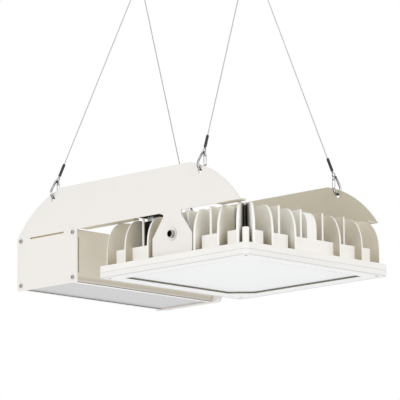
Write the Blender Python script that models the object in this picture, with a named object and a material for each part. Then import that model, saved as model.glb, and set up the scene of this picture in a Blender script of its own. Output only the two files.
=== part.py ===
"""Suspended LED grow lamp: a square finned lamp head and a driver housing between two hanger plates."""
import math

import bmesh
import bpy
from mathutils import Matrix, Vector

MM = 0.001

# Overall placing. The origin lies midway between the two top rings, on the line the lamp hangs from.
HANG_DROP = 608 * MM          # from the hang line down to the underside of the bezel
HEAD_X = 115 * MM             # centre of the lamp head along the plates
TOUCH = 0.3 * MM              # gap kept between faces that touch

# Lamp head
HEAD_SIDE = 360 * MM
HEAD_CORNER = 9 * MM
BEZEL_HEIGHT = 9.4 * MM
LIP_HEIGHT = 1.2 * MM
BEZEL_BORDER = 33.4 * MM      # from the side of the head in to the opening for the glass
LIP_CHAMFER = 35 * MM
GASKET_HEIGHT = 1.4 * MM      # between the lip and the glass
GASKET_RIM = 1.6 * MM         # rim of the gasket inside the edge of the lip
GLASS_THICK = 5.8 * MM
GLASS_LAP = 7 * MM            # glass behind the lip on every side
GLASS_SLACK = 0.6 * MM
FLANGE_HEIGHT = 11.3 * MM
POCKET_BORDER = 42 * MM
POCKET_DEPTH = 6 * MM
BOARD_GAP = 7 * MM            # between the board and the wall of its pocket
BOARD_THICK = 2 * MM
EMITTER_SIDE = 9 * MM
EMITTER_HEIGHT = 1.4 * MM
EMITTER_ROWS = 4
EMITTER_BORDER = 41 * MM      # from the edge of the board to the outer emitters

# Heat sink fins
FIN_TOP = 96 * MM             # above the underside of the bezel
FIN_THICK = 4.5 * MM
FIN_STEPS = 4                 # equal steps from the middle of a side to its last fin before the corner pair
FIN_END = 66.4 * MM           # from that last fin to the corner
CORNER_FIN_INSET = 20.5 * MM  # fins beside each diagonal, from the corner
CORNER_MEET = 58 * MM         # where those two fins meet on the diagonal, in from both sides
FIN_INSET = 0.5 * MM
FIN_FAN = 0.4                 # lean of the side fins: 0 square to their side, 1 at the middle of the head
FIN_DIAGONAL_GAP = 10 * MM    # from the inner end of a side fin to the diagonal, square to the side
FIN_ROUND_IN = 26 * MM
FIN_ROUND_UP = 50 * MM
FIN_CORE = 78 * MM            # from the middle of the head to the inner ends of the long fins
SHORT_CORE = 104 * MM         # the same for the short fins behind the walls
FIN_SINK = 2 * MM             # depth of the fin foot inside the flange
WALL_RECESS = 14 * MM
WALL_THICK = 4 * MM
WALL_TOP = 47 * MM
WALL_SLOTS = {2: 4.5 * MM, 4: 11 * MM}   # slot in the wall on the corner side of the second and fourth fins
RIB_WIDTH = 24 * MM
RIB_LENGTH = 46 * MM
RIB_ROUND_IN = 17 * MM
RIB_ROUND_UP = 28 * MM
HUB_RADIUS = 34 * MM
CORNER_INSET = 15 * MM        # corner screws and posts from the two sides of the head
POST_RADIUS = 6 * MM
POST_HEIGHT = 28 * MM
POST_EDGE = 1.2 * MM
CORNER_SCREW_RADIUS = 2 * MM
CORNER_HEAD_RADIUS = 3.8 * MM
CORNER_HEAD_HEIGHT = 2.4 * MM
CORNER_SCREW_REACH = 12 * MM

# Hanger plates
PLATE_INSET = 4 * MM          # outer face of a plate from the side of the head
PLATE_THICK = 3 * MM
PLATE_BOTTOM = 96.5 * MM
PLATE_TOP = 176.5 * MM
PLATE_HALF = 278 * MM
PLATE_TOP_HALF = 160 * MM
PLATE_ARC_RADIUS = 207 * MM
PLATE_FLANGE = 18 * MM
FLANGE_GAP_HALF = 102 * MM
FLANGE_END_INSET = 6 * MM
TAB_SIDE_CLEAR = 6.35 * MM    # tab to the fins beside it, along the side of the head
TAB_NECK_HALF = 21.5 * MM
TAB_SHOULDER = 53.5 * MM
TAB_NECK = 88.5 * MM
TAB_CLEAR = 0.9 * MM
TAB_CORNER = 2 * MM
TAB_BOLT_HEIGHT = 56.6 * MM
COVER_OVERHANG = 6.5 * MM     # cover past the housing on both sides
COVER_BOTTOM = 2 * MM
COVER_CORNER = 2.5 * MM
COVER_SLOT_LENGTH = 88 * MM
COVER_SLOT_WIDTH = 3 * MM
COVER_SLOT_DROP = 2 * MM      # slot centre below the plate's bottom line
HOOK_HOLE_X = 183.7 * MM
HOOK_HOLE_HEIGHT = 158.2 * MM
HOOK_HOLE_RADIUS = 4.5 * MM

# Screw heads, as shares of the head's radius or height
SCREW_DRIVE = 0.45
SCREW_EDGE = 0.55
SCREW_CROWN = 0.8

# Tab bolts
BOLT_RADIUS = 4 * MM
BOLT_HEAD_RADIUS = 7 * MM
BOLT_HEAD_HEIGHT = 4 * MM
BOLT_SOCKET_RADIUS = 3.4 * MM
BOLT_SOCKET_DEPTH = 2.4 * MM
BOLT_REACH = 20 * MM
BOLT_HOLE_SLACK = 0.35 * MM
WASHER_RADIUS = 11 * MM
WASHER_THICK = 1.6 * MM

# Driver housing
HOUSING_HALF = 71 * MM
HOUSING_BOTTOM = 2.5 * MM
HOUSING_TOP = 98.5 * MM
HOUSING_WALL = 3 * MM
HOUSING_CORNER = 4 * MM
HOUSING_FOOT_CORNER = 7 * MM  # the two rounded edges beside the base panel
HOUSING_LIP = 6 * MM
FOOT_GROOVE_UP = 1.1 * MM     # groove along both rounded edges, from the underside
FOOT_GROOVE_HEIGHT = 1.2 * MM
FOOT_GROOVE_IN = 4.8 * MM     # from the side of the housing to the floor of the groove
SCREW_BAR = 9 * MM
END_GASKET = 1.5 * MM
END_GASKET_INSET = 1.5 * MM
END_GASKET_BAND = 9 * MM
END_NOTCH = 6.5 * MM          # notch in both side walls at the near end
END_NOTCH_CLEAR = 8.5 * MM    # from the screws down or up to the notch
BASE_COVER_THICK = 2.5 * MM
BASE_COVER_SLACK = 1 * MM
END_SCREW_IN = 3.8 * MM       # from the side of the housing
END_SCREW_UP = 8.7 * MM       # from its underside
END_SCREW_DOWN = 6.5 * MM     # from its top
END_SCREW_RADIUS = 2 * MM
END_SCREW_HOLE_SLACK = 0.3 * MM
END_SCREW_REACH = 14 * MM
END_HEAD_RADIUS = 3.6 * MM
END_HEAD_HEIGHT = 2.2 * MM

# Cap on the outside of the far cover
CAP_DEPTH = 16 * MM
CAP_WALL = 2.5 * MM
CAP_INSET = 2 * MM            # from the sides and the bottom of the cover
CAP_TOP = 97.5 * MM
CAP_CORNER = 6 * MM
CAP_BOSS = 4.5 * MM

# Parts inside the driver housing
DRIVER_WIDTH = 96 * MM
DRIVER_LENGTH = 200 * MM
DRIVER_HEIGHT = 42 * MM
DRIVER_Y = 40 * MM
DRIVER_FOOT = 14 * MM
DRIVER_FOOT_THICK = 2.5 * MM
TERMINAL_WIDTH = 60 * MM
TERMINAL_DEPTH = 24 * MM
TERMINAL_HEIGHT = 18 * MM
TERMINAL_STEP = 7 * MM
TERMINAL_Y = -110 * MM

# Cable glands and the lead from the housing to the lamp head
GLAND_THREAD = 8 * MM
GLAND_HOLE_SLACK = 0.3 * MM
GLAND_HEX = 11.5 * MM
GLAND_HEX_HEIGHT = 6 * MM
GLAND_DOME_RADIUS = 9.5 * MM
GLAND_DOME_HEIGHT = 16 * MM
GLAND_DOME_EDGE = 4 * MM
GLAND_TAIL = 10 * MM
LEAD_RADIUS = 4 * MM
LEAD_SLACK = 0.4 * MM
MAINS_GLAND_Y = 110 * MM
MAINS_GLAND_HEIGHT = 62 * MM
HOUSING_GLAND_IN = 45 * MM    # from the side of the housing
HOUSING_GLAND_Y = -152 * MM
HEAD_GLAND_BAY = -3           # short fin, counted along the near side, that is cut back for the gland
HEAD_GLAND_IN = 32 * MM       # from the near side of the head
HEAD_GLAND_SHIFT = 6 * MM     # along the side from that fin's outer end
HEAD_GLAND_FOOT = 9.5 * MM
HEAD_GLAND_FOOT_HEIGHT = 6 * MM
HEAD_GLAND_BODY = 8.8 * MM
HEAD_GLAND_TOP = 95.5 * MM
HEAD_NUT_RADIUS = 7.4 * MM
HEAD_NUT_HEIGHT = 9 * MM
LEAD_SPACING = 11 * MM        # between points of its path
LEAD_STRAIGHT = 10 * MM
LEAD_ROUTE = [(25 * MM, -130 * MM, 131 * MM), (-2 * MM, -98 * MM, 127 * MM),
              (-32 * MM, -84 * MM, 123.5 * MM), (-62 * MM, -82 * MM, 126 * MM),
              (-100 * MM, -100 * MM, 136 * MM), (-135 * MM, -126 * MM, 150 * MM),
              (-164 * MM, -147 * MM, 147 * MM)]

# Hanging gear
RING_X = 139 * MM
RING_RADIUS = 15 * MM
RING_WIRE = 2.5 * MM
CRIMP_RADIUS = 4 * MM
CRIMP_LENGTH = 18 * MM
CRIMP_TOP = -8 * MM
CRIMP_LOOP_WIRE = 1 * MM
CRIMP_LOOP_SPREAD = 2 * MM
CRIMP_LOOP_DIP = math.radians(25)
WIRE_RADIUS = 0.95 * MM
WIRE_SPREAD = 1.7 * MM
WIRE_POINTS = 13
SLEEVE_RADIUS = 2.6 * MM
SLEEVE_LENGTH = 25 * MM
EYE_WIRE = 0.9 * MM
EYE_RADIUS = 3.6 * MM
EYE_HEIGHT = 13 * MM
EYE_SPREAD = 1.2 * MM
EYE_TURN_START = math.radians(20)
EYE_TURN = math.radians(220)
HOOK_ROD = 1.9 * MM
HOOK_LEAN = math.radians(15)
HOOK_BOW = 8.8 * MM           # radius of the wide lower bow
HOOK_TOP_BOW = 3.4 * MM       # radius of the narrow upper bow
HOOK_HEIGHT = 33 * MM
HOOK_SEAT_CLEAR = 0.8 * MM    # play of the curved rod under the top of its hole
HOOK_NOSE = 10.5 * MM         # height of the nose above the lowest point
HOOK_SPINE_OUT = 9 * MM
HOOK_SPINE_UP = 12.8 * MM
HOOK_END_OUT = 4.1 * MM       # inner end of the rod, where the gate hinges
HOOK_CROWN_START = math.radians(155)
HOOK_CROWN_END = math.radians(-10)
GATE_PIVOT_DROP = 4.5 * MM    # pivot below the top of the hook
GATE_PIVOT_OUT = 3.74 * MM
GATE_WIRE = 0.8 * MM
GATE_BEND = 0.7               # share of the half width where the round end is cut
GATE_SEAT = 0.4 * MM

ROUND = 16
FINE_ROUND = 24

COLOURS = {
    "white_paint": ((0.80, 0.79, 0.77), 0.45, 0.0),
    "housing_paint": ((0.80, 0.79, 0.77), 0.45, 0.0),
    "cast_white": ((0.78, 0.77, 0.75), 0.55, 0.0),
    "grey_panel": ((0.60, 0.60, 0.60), 0.50, 0.2),
    "dark_rubber": ((0.03, 0.03, 0.025), 0.80, 0.0),
    "pale_rubber": ((0.62, 0.60, 0.55), 0.80, 0.0),
    "black_plastic": ((0.02, 0.02, 0.02), 0.50, 0.0),
    "satin_glass": ((0.86, 0.88, 0.88), 0.25, 0.0),
    "steel": ((0.62, 0.62, 0.63), 0.28, 1.0),
    "dark_steel": ((0.20, 0.20, 0.20), 0.40, 1.0),
    "board_white": ((0.85, 0.85, 0.83), 0.50, 0.0),
    "driver_grey": ((0.35, 0.36, 0.38), 0.50, 0.3),
    "terminal_green": ((0.10, 0.35, 0.18), 0.45, 0.0),
}


def at(height):
    """World height of a level measured up from the underside of the bezel."""
    return height - HANG_DROP


HEAD_HALF = HEAD_SIDE / 2
LIP_OPENING = HEAD_SIDE - 2 * BEZEL_BORDER
GLASS_SIDE = LIP_OPENING + 2 * GLASS_LAP
CHAMFER_STEP = 2 - math.sqrt(2)   # change of a cut corner for each unit that its outline grows
GLASS_CHAMFER = LIP_CHAMFER + GLASS_LAP * CHAMFER_STEP
POCKET_SIDE = HEAD_SIDE - 2 * POCKET_BORDER
BOARD_SIDE = POCKET_SIDE - 2 * BOARD_GAP
EMITTER_PITCH = (BOARD_SIDE - 2 * EMITTER_BORDER) / (EMITTER_ROWS - 1)
FIN_PITCH = (HEAD_HALF - FIN_END) / FIN_STEPS
TAB_HALF = 2 * FIN_PITCH - FIN_THICK / 2 - TAB_SIDE_CLEAR
PLATE_OUTER_Y = HEAD_HALF - PLATE_INSET
COVER_HALF = HOUSING_HALF + COVER_OVERHANG
HOUSING_X = COVER_HALF - PLATE_HALF
END_SCREW_X = HOUSING_HALF - END_SCREW_IN
END_SCREW_LOW = HOUSING_BOTTOM + END_SCREW_UP
END_SCREW_HIGH = HOUSING_TOP - END_SCREW_DOWN
HOUSING_GLAND_X = HOUSING_X + HOUSING_HALF - HOUSING_GLAND_IN
HEAD_GLAND_X = HEAD_X + HEAD_GLAND_BAY * FIN_PITCH + HEAD_GLAND_SHIFT
HEAD_GLAND_Y = HEAD_GLAND_IN - HEAD_HALF
FLANGE_LOW = BEZEL_HEIGHT + TOUCH
FLANGE_TOP = FLANGE_LOW + FLANGE_HEIGHT
GASKET_LOW = LIP_HEIGHT + TOUCH
GLASS_LOW = GASKET_LOW + GASKET_HEIGHT + TOUCH
POCKET_TOP = FLANGE_LOW + POCKET_DEPTH
BOARD_TOP = POCKET_TOP - TOUCH
BOARD_LOW = BOARD_TOP - BOARD_THICK
PLATE_INNER_Y = PLATE_OUTER_Y - PLATE_THICK
HOUSING_END_Y = PLATE_INNER_Y - END_GASKET - 2 * TOUCH
BASE_COVER_LOW = HOUSING_BOTTOM + HOUSING_WALL + TOUCH
BASE_COVER_TOP = BASE_COVER_LOW + BASE_COVER_THICK
INSIDE_HALF = HOUSING_HALF - HOUSING_WALL
HOOK_SEAT_HEIGHT = HOOK_HOLE_HEIGHT + HOOK_HOLE_RADIUS - HOOK_ROD - HOOK_SEAT_CLEAR
PLATE_MID_Y = (PLATE_OUTER_Y + PLATE_INNER_Y) / 2
SIDES = {"near": -1, "far": 1}
ENDS = {"left": -1, "right": 1}


def clear_scene():
    for old in list(bpy.data.objects):
        bpy.data.objects.remove(old, do_unlink=True)


def material(key):
    found = bpy.data.materials.get(key)
    if found:
        return found
    colour, rough, metal = COLOURS[key]
    made = bpy.data.materials.new(key)
    made.use_nodes = True
    shader = made.node_tree.nodes["Principled BSDF"]
    shader.inputs["Base Color"].default_value = (*colour, 1)
    shader.inputs["Roughness"].default_value = rough
    shader.inputs["Metallic"].default_value = metal
    made.diffuse_color = (*colour, 1)
    return made


def piece(name, bm, key, origin=(0, 0, 0), smooth=False):
    """Turn a bmesh in world coordinates into a named object whose origin is at the given point."""
    bmesh.ops.remove_doubles(bm, verts=bm.verts, dist=1e-7)
    bmesh.ops.recalc_face_normals(bm, faces=bm.faces)
    bmesh.ops.translate(bm, verts=bm.verts, vec=-Vector(origin))
    mesh = bpy.data.meshes.new(name)
    bm.to_mesh(mesh)
    bm.free()
    if smooth:
        mesh.shade_smooth()
        mesh.set_sharp_from_angle(angle=math.radians(35))
    mesh.materials.append(material(key))
    made = bpy.data.objects.new(name, mesh)
    made.location = origin
    bpy.context.scene.collection.objects.link(made)
    return made


def combine(target, bm, operation):
    """Join a shape to the target, or cut it away, with an unseen helper object."""
    helper = piece(target.name + "_" + operation.lower() + str(len(target.modifiers)), bm, "steel")
    helper.hide_render = True
    helper.display_type = "WIRE"
    step = target.modifiers.new(operation.lower(), "BOOLEAN")
    step.operation = operation
    step.solver = "EXACT"
    step.object = helper


def gather(shapes):
    """Put several separate shapes into one bmesh."""
    whole = bmesh.new()
    for shape in shapes:
        scratch = bpy.data.meshes.new("scratch")
        shape.to_mesh(scratch)
        shape.free()
        whole.from_mesh(scratch)
        bpy.data.meshes.remove(scratch)
    return whole


def prism(outline, low, high, axis):
    """Extrude a flat outline between two levels of the given axis."""
    orders = {"X": lambda a, b, c: (c, a, b), "Y": lambda a, b, c: (a, c, b), "Z": lambda a, b, c: (a, b, c)}
    order = orders[axis]
    bm = bmesh.new()
    face = bm.faces.new([bm.verts.new(order(a, b, low)) for a, b in outline])
    grown = bmesh.ops.extrude_face_region(bm, geom=[face])
    moved = [item for item in grown["geom"] if isinstance(item, bmesh.types.BMVert)]
    bmesh.ops.translate(bm, verts=moved, vec=order(0, 0, high - low))
    bmesh.ops.recalc_face_normals(bm, faces=bm.faces)
    return bm


def box(low, high):
    outline = [(low[0], low[1]), (high[0], low[1]), (high[0], high[1]), (low[0], high[1])]
    return prism(outline, low[2], high[2], "Z")


def turned(profile, sides=ROUND, closed=False):
    """Turn a profile of (radius, height) points about the Z axis."""
    bm = bmesh.new()
    points = [bm.verts.new((r, 0, h)) for r, h in profile]
    edges = [bm.edges.new(pair) for pair in zip(points, points[1:])]
    if closed:
        edges.append(bm.edges.new((points[-1], points[0])))
    bmesh.ops.spin(bm, geom=points + edges, cent=(0, 0, 0), axis=(0, 0, 1), angle=math.tau,
                   steps=sides, use_merge=True)
    bmesh.ops.remove_doubles(bm, verts=bm.verts, dist=1e-7)
    bmesh.ops.recalc_face_normals(bm, faces=bm.faces)
    return bm


def rod(radius, low, high, sides=ROUND):
    return turned([(0, low), (radius, low), (radius, high), (0, high)], sides)


def place(bm, point, along=(0, 0, 1)):
    """Stand a shape made along Z at a point, with its Z axis turned to another direction."""
    turn = Vector((0, 0, 1)).rotation_difference(Vector(along).normalized()).to_matrix().to_4x4()
    bmesh.ops.transform(bm, matrix=Matrix.Translation(point) @ turn, verts=bm.verts)
    return bm


def arc(centre, radius, start, end, steps):
    """Points on a circle from one angle to another, both ends included."""
    span = [start + (end - start) * k / steps for k in range(steps + 1)]
    return [(centre[0] + radius * math.cos(a), centre[1] + radius * math.sin(a)) for a in span]


def bulge(first, last, radius, steps):
    """Points of an arc that bows to the left of the line from first to last, both ends included."""
    chord = Vector(last) - Vector(first)
    across = Vector((chord.y, -chord.x)).normalized()
    middle = (Vector(first) + Vector(last)) / 2
    centre = middle + across * math.sqrt(radius ** 2 - (chord.length / 2) ** 2)
    start = math.atan2(first[1] - centre.y, first[0] - centre.x)
    end = math.atan2(last[1] - centre.y, last[0] - centre.x)
    while end > start:
        end -= math.tau
    return arc(centre, radius, start, end, steps)


def rounded(corners, radii, steps=3):
    """Outline with every corner rounded to its own radius."""
    result = []
    for k, (corner, radius) in enumerate(zip(corners, radii)):
        here = Vector(corner)
        to_last = (Vector(corners[k - 1]) - here).normalized()
        to_next = (Vector(corners[(k + 1) % len(corners)]) - here).normalized()
        half = to_last.angle(to_next) / 2
        centre = here + (to_last + to_next).normalized() * radius / math.sin(half)
        begin = here + to_last * radius / math.tan(half) - centre
        finish = here + to_next * radius / math.tan(half) - centre
        for j in range(steps + 1):
            aim = begin.lerp(finish, j / steps).normalized()
            result.append(tuple(centre + aim * radius))
    return result


def square(half_x, half_y, centre=(0, 0)):
    cx, cy = centre
    return [(cx - half_x, cy - half_y), (cx + half_x, cy - half_y),
            (cx + half_x, cy + half_y), (cx - half_x, cy + half_y)]


def pane(side, chamfer, centre):
    """Square outline with two opposite corners cut off."""
    half = side / 2
    near = half - chamfer
    spots = [(-half, -half), (near, -half), (half, -near), (half, half), (-near, half), (-half, near)]
    return [(centre[0] + a, centre[1] + b) for a, b in spots]


def swept(points, radius, sides=8):
    """Round bar along a chain of points, as a closed mesh."""
    chain = [Vector(p) for p in points]
    bm = bmesh.new()
    ahead = (chain[1] - chain[0]).normalized()
    across = ahead.orthogonal().normalized()
    loops = []
    for k, spot in enumerate(chain):
        before = (spot - chain[k - 1]).normalized() if k else ahead
        after = (chain[k + 1] - spot).normalized() if k < len(chain) - 1 else before
        heading = (before + after).normalized()
        across = ahead.rotation_difference(heading) @ across
        ahead = heading
        second = heading.cross(across)
        turns = [math.tau * j / sides for j in range(sides)]
        spokes = [across * math.cos(a) + second * math.sin(a) for a in turns]
        loops.append([bm.verts.new(spot + radius * spoke) for spoke in spokes])
    for low, high in zip(loops, loops[1:]):
        for j in range(sides):
            nxt = (j + 1) % sides
            bm.faces.new((low[j], low[nxt], high[nxt], high[j]))
    bm.faces.new(loops[0][::-1])
    bm.faces.new(loops[-1])
    bmesh.ops.recalc_face_normals(bm, faces=bm.faces)
    return bm


def tube(name, points, radius, key, origin=(0, 0, 0)):
    """Round bar along a chain of points."""
    curve = bpy.data.curves.new(name, "CURVE")
    curve.dimensions = "3D"
    curve.bevel_depth = radius
    curve.bevel_resolution = 2
    curve.use_fill_caps = True
    spline = curve.splines.new("POLY")
    spline.points.add(len(points) - 1)
    for spot, point in zip(spline.points, points):
        spot.co = (*(Vector(point) - Vector(origin)), 1)
    curve.materials.append(material(key))
    made = bpy.data.objects.new(name, curve)
    made.location = origin
    bpy.context.scene.collection.objects.link(made)
    return made


def smooth_route(knots, spacing):
    """Evenly spread points on a smooth curve through the knots."""
    ends = [2 * knots[0] - knots[1]] + knots + [2 * knots[-1] - knots[-2]]
    dense = []
    for a, b, c, d in zip(ends, ends[1:], ends[2:], ends[3:]):
        for k in range(40):
            t = k / 40
            dense.append(0.5 * (2 * b + (c - a) * t + (2 * a - 5 * b + 4 * c - d) * t ** 2
                                + (3 * b - a - 3 * c + d) * t ** 3))
    dense.append(knots[-1])
    lengths = [0]
    for first, second in zip(dense, dense[1:]):
        lengths.append(lengths[-1] + (second - first).length)
    picked = []
    k = 0
    spans = round(lengths[-1] / spacing)
    for j in range(spans + 1):
        goal = lengths[-1] * j / spans
        while k < len(dense) - 2 and lengths[k + 1] < goal:
            k += 1
        share = (goal - lengths[k]) / (lengths[k + 1] - lengths[k])
        picked.append(dense[k].lerp(dense[k + 1], share))
    return picked


def screw(head_radius, head_height, shank_radius, reach, sides=10):
    """Screw with its head above Z zero, its shank below, and a round drive recess."""
    recess = head_radius * SCREW_DRIVE
    floor = head_height * SCREW_DRIVE
    edge = head_height * SCREW_EDGE
    return turned([(0, -reach), (shank_radius, -reach), (shank_radius, 0), (head_radius, 0),
                   (head_radius, edge), (head_radius * SCREW_CROWN, head_height), (recess, head_height),
                   (recess, floor), (0, floor)], sides)


def head_corners(inset):
    half = HEAD_HALF - inset
    return [(HEAD_X + sx * half, sy * half) for sx in (-1, 1) for sy in (-1, 1)]


def plate_outline():
    tab_low = FLANGE_TOP + TAB_CLEAR
    tab = [(HEAD_X + TAB_NECK_HALF, PLATE_BOTTOM), (HEAD_X + TAB_NECK_HALF, TAB_NECK),
           (HEAD_X + TAB_HALF, TAB_SHOULDER)]
    tab += [(HEAD_X + TAB_HALF, tab_low + TAB_CORNER), (HEAD_X + TAB_HALF - TAB_CORNER, tab_low),
            (HEAD_X - TAB_HALF + TAB_CORNER, tab_low), (HEAD_X - TAB_HALF, tab_low + TAB_CORNER),
            (HEAD_X - TAB_HALF, TAB_SHOULDER), (HEAD_X - TAB_NECK_HALF, TAB_NECK),
            (HEAD_X - TAB_NECK_HALF, PLATE_BOTTOM)]
    right = HOUSING_X + COVER_HALF
    left = HOUSING_X - COVER_HALF
    cover = [(right, PLATE_BOTTOM), (right, COVER_BOTTOM + COVER_CORNER),
             (right - COVER_CORNER, COVER_BOTTOM), (left + COVER_CORNER, COVER_BOTTOM),
             (left, COVER_BOTTOM + COVER_CORNER)]
    right_end = bulge((PLATE_TOP_HALF, PLATE_TOP), (PLATE_HALF, PLATE_BOTTOM), PLATE_ARC_RADIUS, 10)
    left_end = bulge((-PLATE_HALF, PLATE_BOTTOM), (-PLATE_TOP_HALF, PLATE_TOP), PLATE_ARC_RADIUS, 10)
    return right_end + tab + cover + left_end


def hanger_plate(side):
    sign = SIDES[side]
    outer = sign * PLATE_OUTER_Y
    inner = sign * PLATE_INNER_Y
    outline = [(x, at(h)) for x, h in plate_outline()]
    plate = piece(side + "_hanger_plate", prism(outline, outer, inner, "Y"), "white_paint")
    edge = inner - sign * PLATE_FLANGE
    root = (outer + inner) / 2
    spans = [(HOUSING_X + COVER_HALF + FLANGE_END_INSET, HEAD_X - FLANGE_GAP_HALF),
             (HEAD_X + FLANGE_GAP_HALF, PLATE_HALF - FLANGE_END_INSET)]
    lips = [box((a, min(root, edge), at(PLATE_BOTTOM)), (b, max(root, edge), at(PLATE_BOTTOM + PLATE_THICK)))
            for a, b in spans]
    combine(plate, gather(lips), "UNION")
    middle = (0, sign * PLATE_MID_Y, 0)

    def hole(x, height, radius, sides=FINE_ROUND):
        through = rod(radius, -PLATE_THICK, PLATE_THICK, sides)
        return place(through, (x, middle[1], at(height)), (0, 1, 0))

    holes = [hole(e * HOOK_HOLE_X, HOOK_HOLE_HEIGHT, HOOK_HOLE_RADIUS) for e in ENDS.values()]
    holes.append(hole(HEAD_X, TAB_BOLT_HEIGHT, BOLT_RADIUS + BOLT_HOLE_SLACK))
    holes += [hole(x, h, END_SCREW_RADIUS + END_SCREW_HOLE_SLACK, ROUND) for x, h in end_screw_spots()]
    slot_mid = at(PLATE_BOTTOM - COVER_SLOT_DROP)
    slot = square(COVER_SLOT_LENGTH / 2, COVER_SLOT_WIDTH / 2, (HOUSING_X, slot_mid))
    holes.append(prism(slot, middle[1] - PLATE_THICK, middle[1] + PLATE_THICK, "Y"))
    combine(plate, gather(holes), "DIFFERENCE")


def tab_bolt(side):
    sign = SIDES[side]
    out = (0, sign, 0)
    face = sign * (PLATE_OUTER_Y + TOUCH)
    spot = (HEAD_X, face, at(TAB_BOLT_HEIGHT))
    washer = turned([(BOLT_RADIUS + BOLT_HOLE_SLACK, 0), (WASHER_RADIUS, 0), (WASHER_RADIUS, WASHER_THICK),
                     (BOLT_RADIUS + BOLT_HOLE_SLACK, WASHER_THICK)], FINE_ROUND, closed=True)
    piece(side + "_tab_washer", place(washer, spot, out), "steel", smooth=True)
    seat = WASHER_THICK + TOUCH
    top = seat + BOLT_HEAD_HEIGHT
    floor = top - BOLT_SOCKET_DEPTH
    bolt = turned([(0, -BOLT_REACH), (BOLT_RADIUS, -BOLT_REACH), (BOLT_RADIUS, seat),
                   (BOLT_HEAD_RADIUS, seat), (BOLT_HEAD_RADIUS, top), (BOLT_SOCKET_RADIUS, top),
                   (BOLT_SOCKET_RADIUS, floor), (0, floor)], 18)
    piece(side + "_tab_bolt", place(bolt, spot, out), "dark_steel", smooth=True)


def fin_profile(start, length, round_in, round_up):
    """Side view of a fin: distance in from the outer edge against height, its upper outer corner rounded."""
    spring = FIN_TOP - round_up
    low = FLANGE_TOP - FIN_SINK
    curve = [(start + round_in * (1 - math.cos(a)), spring + round_up * math.sin(a))
             for a in [math.pi / 2 * k / 6 for k in range(7)]]
    return [(start, low)] + curve + [(length, FIN_TOP), (length, low)]


def short_profile(start, length):
    """Side view of a square fin that stands behind a wall."""
    low = FLANGE_TOP - FIN_SINK
    return [(start, low), (start, FIN_TOP), (length, FIN_TOP), (length, low)]


def fin(profile, thick, edge, inward):
    """Fin standing on its profile, with its outer edge at a point and running inward from there."""
    bm = prism(profile, -thick / 2, thick / 2, "Y")
    heading = Matrix.Rotation(math.atan2(inward[1], inward[0]), 4, "Z")
    bmesh.ops.transform(bm, matrix=Matrix.Translation((edge[0], edge[1], at(0))) @ heading, verts=bm.verts)
    return bm


def corner_fin(out, along, hand):
    """Fin beside a diagonal, running in from one side of the head to meet its partner on the diagonal."""
    foot = out * HEAD_HALF + along * hand * (HEAD_HALF - CORNER_FIN_INSET)
    meet = (out + along * hand) * (HEAD_HALF - CORNER_MEET)
    run = meet - foot
    slant = 1 - CORNER_FIN_INSET / CORNER_MEET
    start = FIN_INSET * math.hypot(1, slant) + slant * FIN_THICK / 2
    profile = fin_profile(start, run.length, FIN_ROUND_IN, FIN_ROUND_UP)
    return fin(profile, FIN_THICK, Vector((HEAD_X, 0)) + foot, run)


def diagonal_fin(out, along):
    """Fin on a diagonal, from where the two corner fins meet towards the middle of the head."""
    corner = out + along
    begin = corner * (HEAD_HALF - CORNER_MEET) + corner.normalized() * FIN_THICK / 2
    profile = short_profile(0, begin.length - FIN_CORE)
    return fin(profile, FIN_THICK, Vector((HEAD_X, 0)) + begin, -corner)


def side_fin(out, along, offset, short=False, cut_back=False):
    """Fin that leans towards the middle of the head, with its outer end on one side of the head."""
    foot = out * HEAD_HALF + along * offset
    aim = out * HEAD_HALF + along * offset * FIN_FAN
    slant = abs(offset) * FIN_FAN / HEAD_HALF
    stretch = math.hypot(1, slant)
    reach = (HEAD_HALF - abs(offset)) / (1 - slant) - FIN_DIAGONAL_GAP
    if short:
        start = (WALL_RECESS + WALL_THICK / 4) * stretch
        stub = (WALL_RECESS + WALL_THICK) * stretch - slant * FIN_THICK
        profile = short_profile(start, stub if cut_back else min(HEAD_HALF - SHORT_CORE, reach) * stretch)
    else:
        start = FIN_INSET * stretch + slant * FIN_THICK / 2
        profile = fin_profile(start, min(HEAD_HALF - FIN_CORE, reach) * stretch, FIN_ROUND_IN, FIN_ROUND_UP)
    return fin(profile, FIN_THICK, Vector((HEAD_X, 0)) + foot, -aim)


def head_sides():
    """Outward direction of each side of the head, with the direction along it."""
    for out in (Vector((1, 0)), Vector((0, 1)), Vector((-1, 0)), Vector((0, -1))):
        yield out, Vector((-out.y, out.x))


def heat_sink_fins():
    fins = []
    for out, along in head_sides():
        near = out.y < 0
        for k in range(1, FIN_STEPS + 1):
            for hand in (-1, 1):
                short = k % 2 == 1
                cut_back = near and hand * k == HEAD_GLAND_BAY
                fins.append(side_fin(out, along, hand * k * FIN_PITCH, short, cut_back))
        rib_start = WALL_RECESS + WALL_THICK / 4 if out.x else HEAD_HALF - (PLATE_INNER_Y - TOUCH)
        rib = fin_profile(rib_start, RIB_LENGTH, RIB_ROUND_IN, RIB_ROUND_UP)
        fins.append(fin(rib, RIB_WIDTH, Vector((HEAD_X, 0)) + out * HEAD_HALF, -out))
    return gather(fins)


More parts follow.
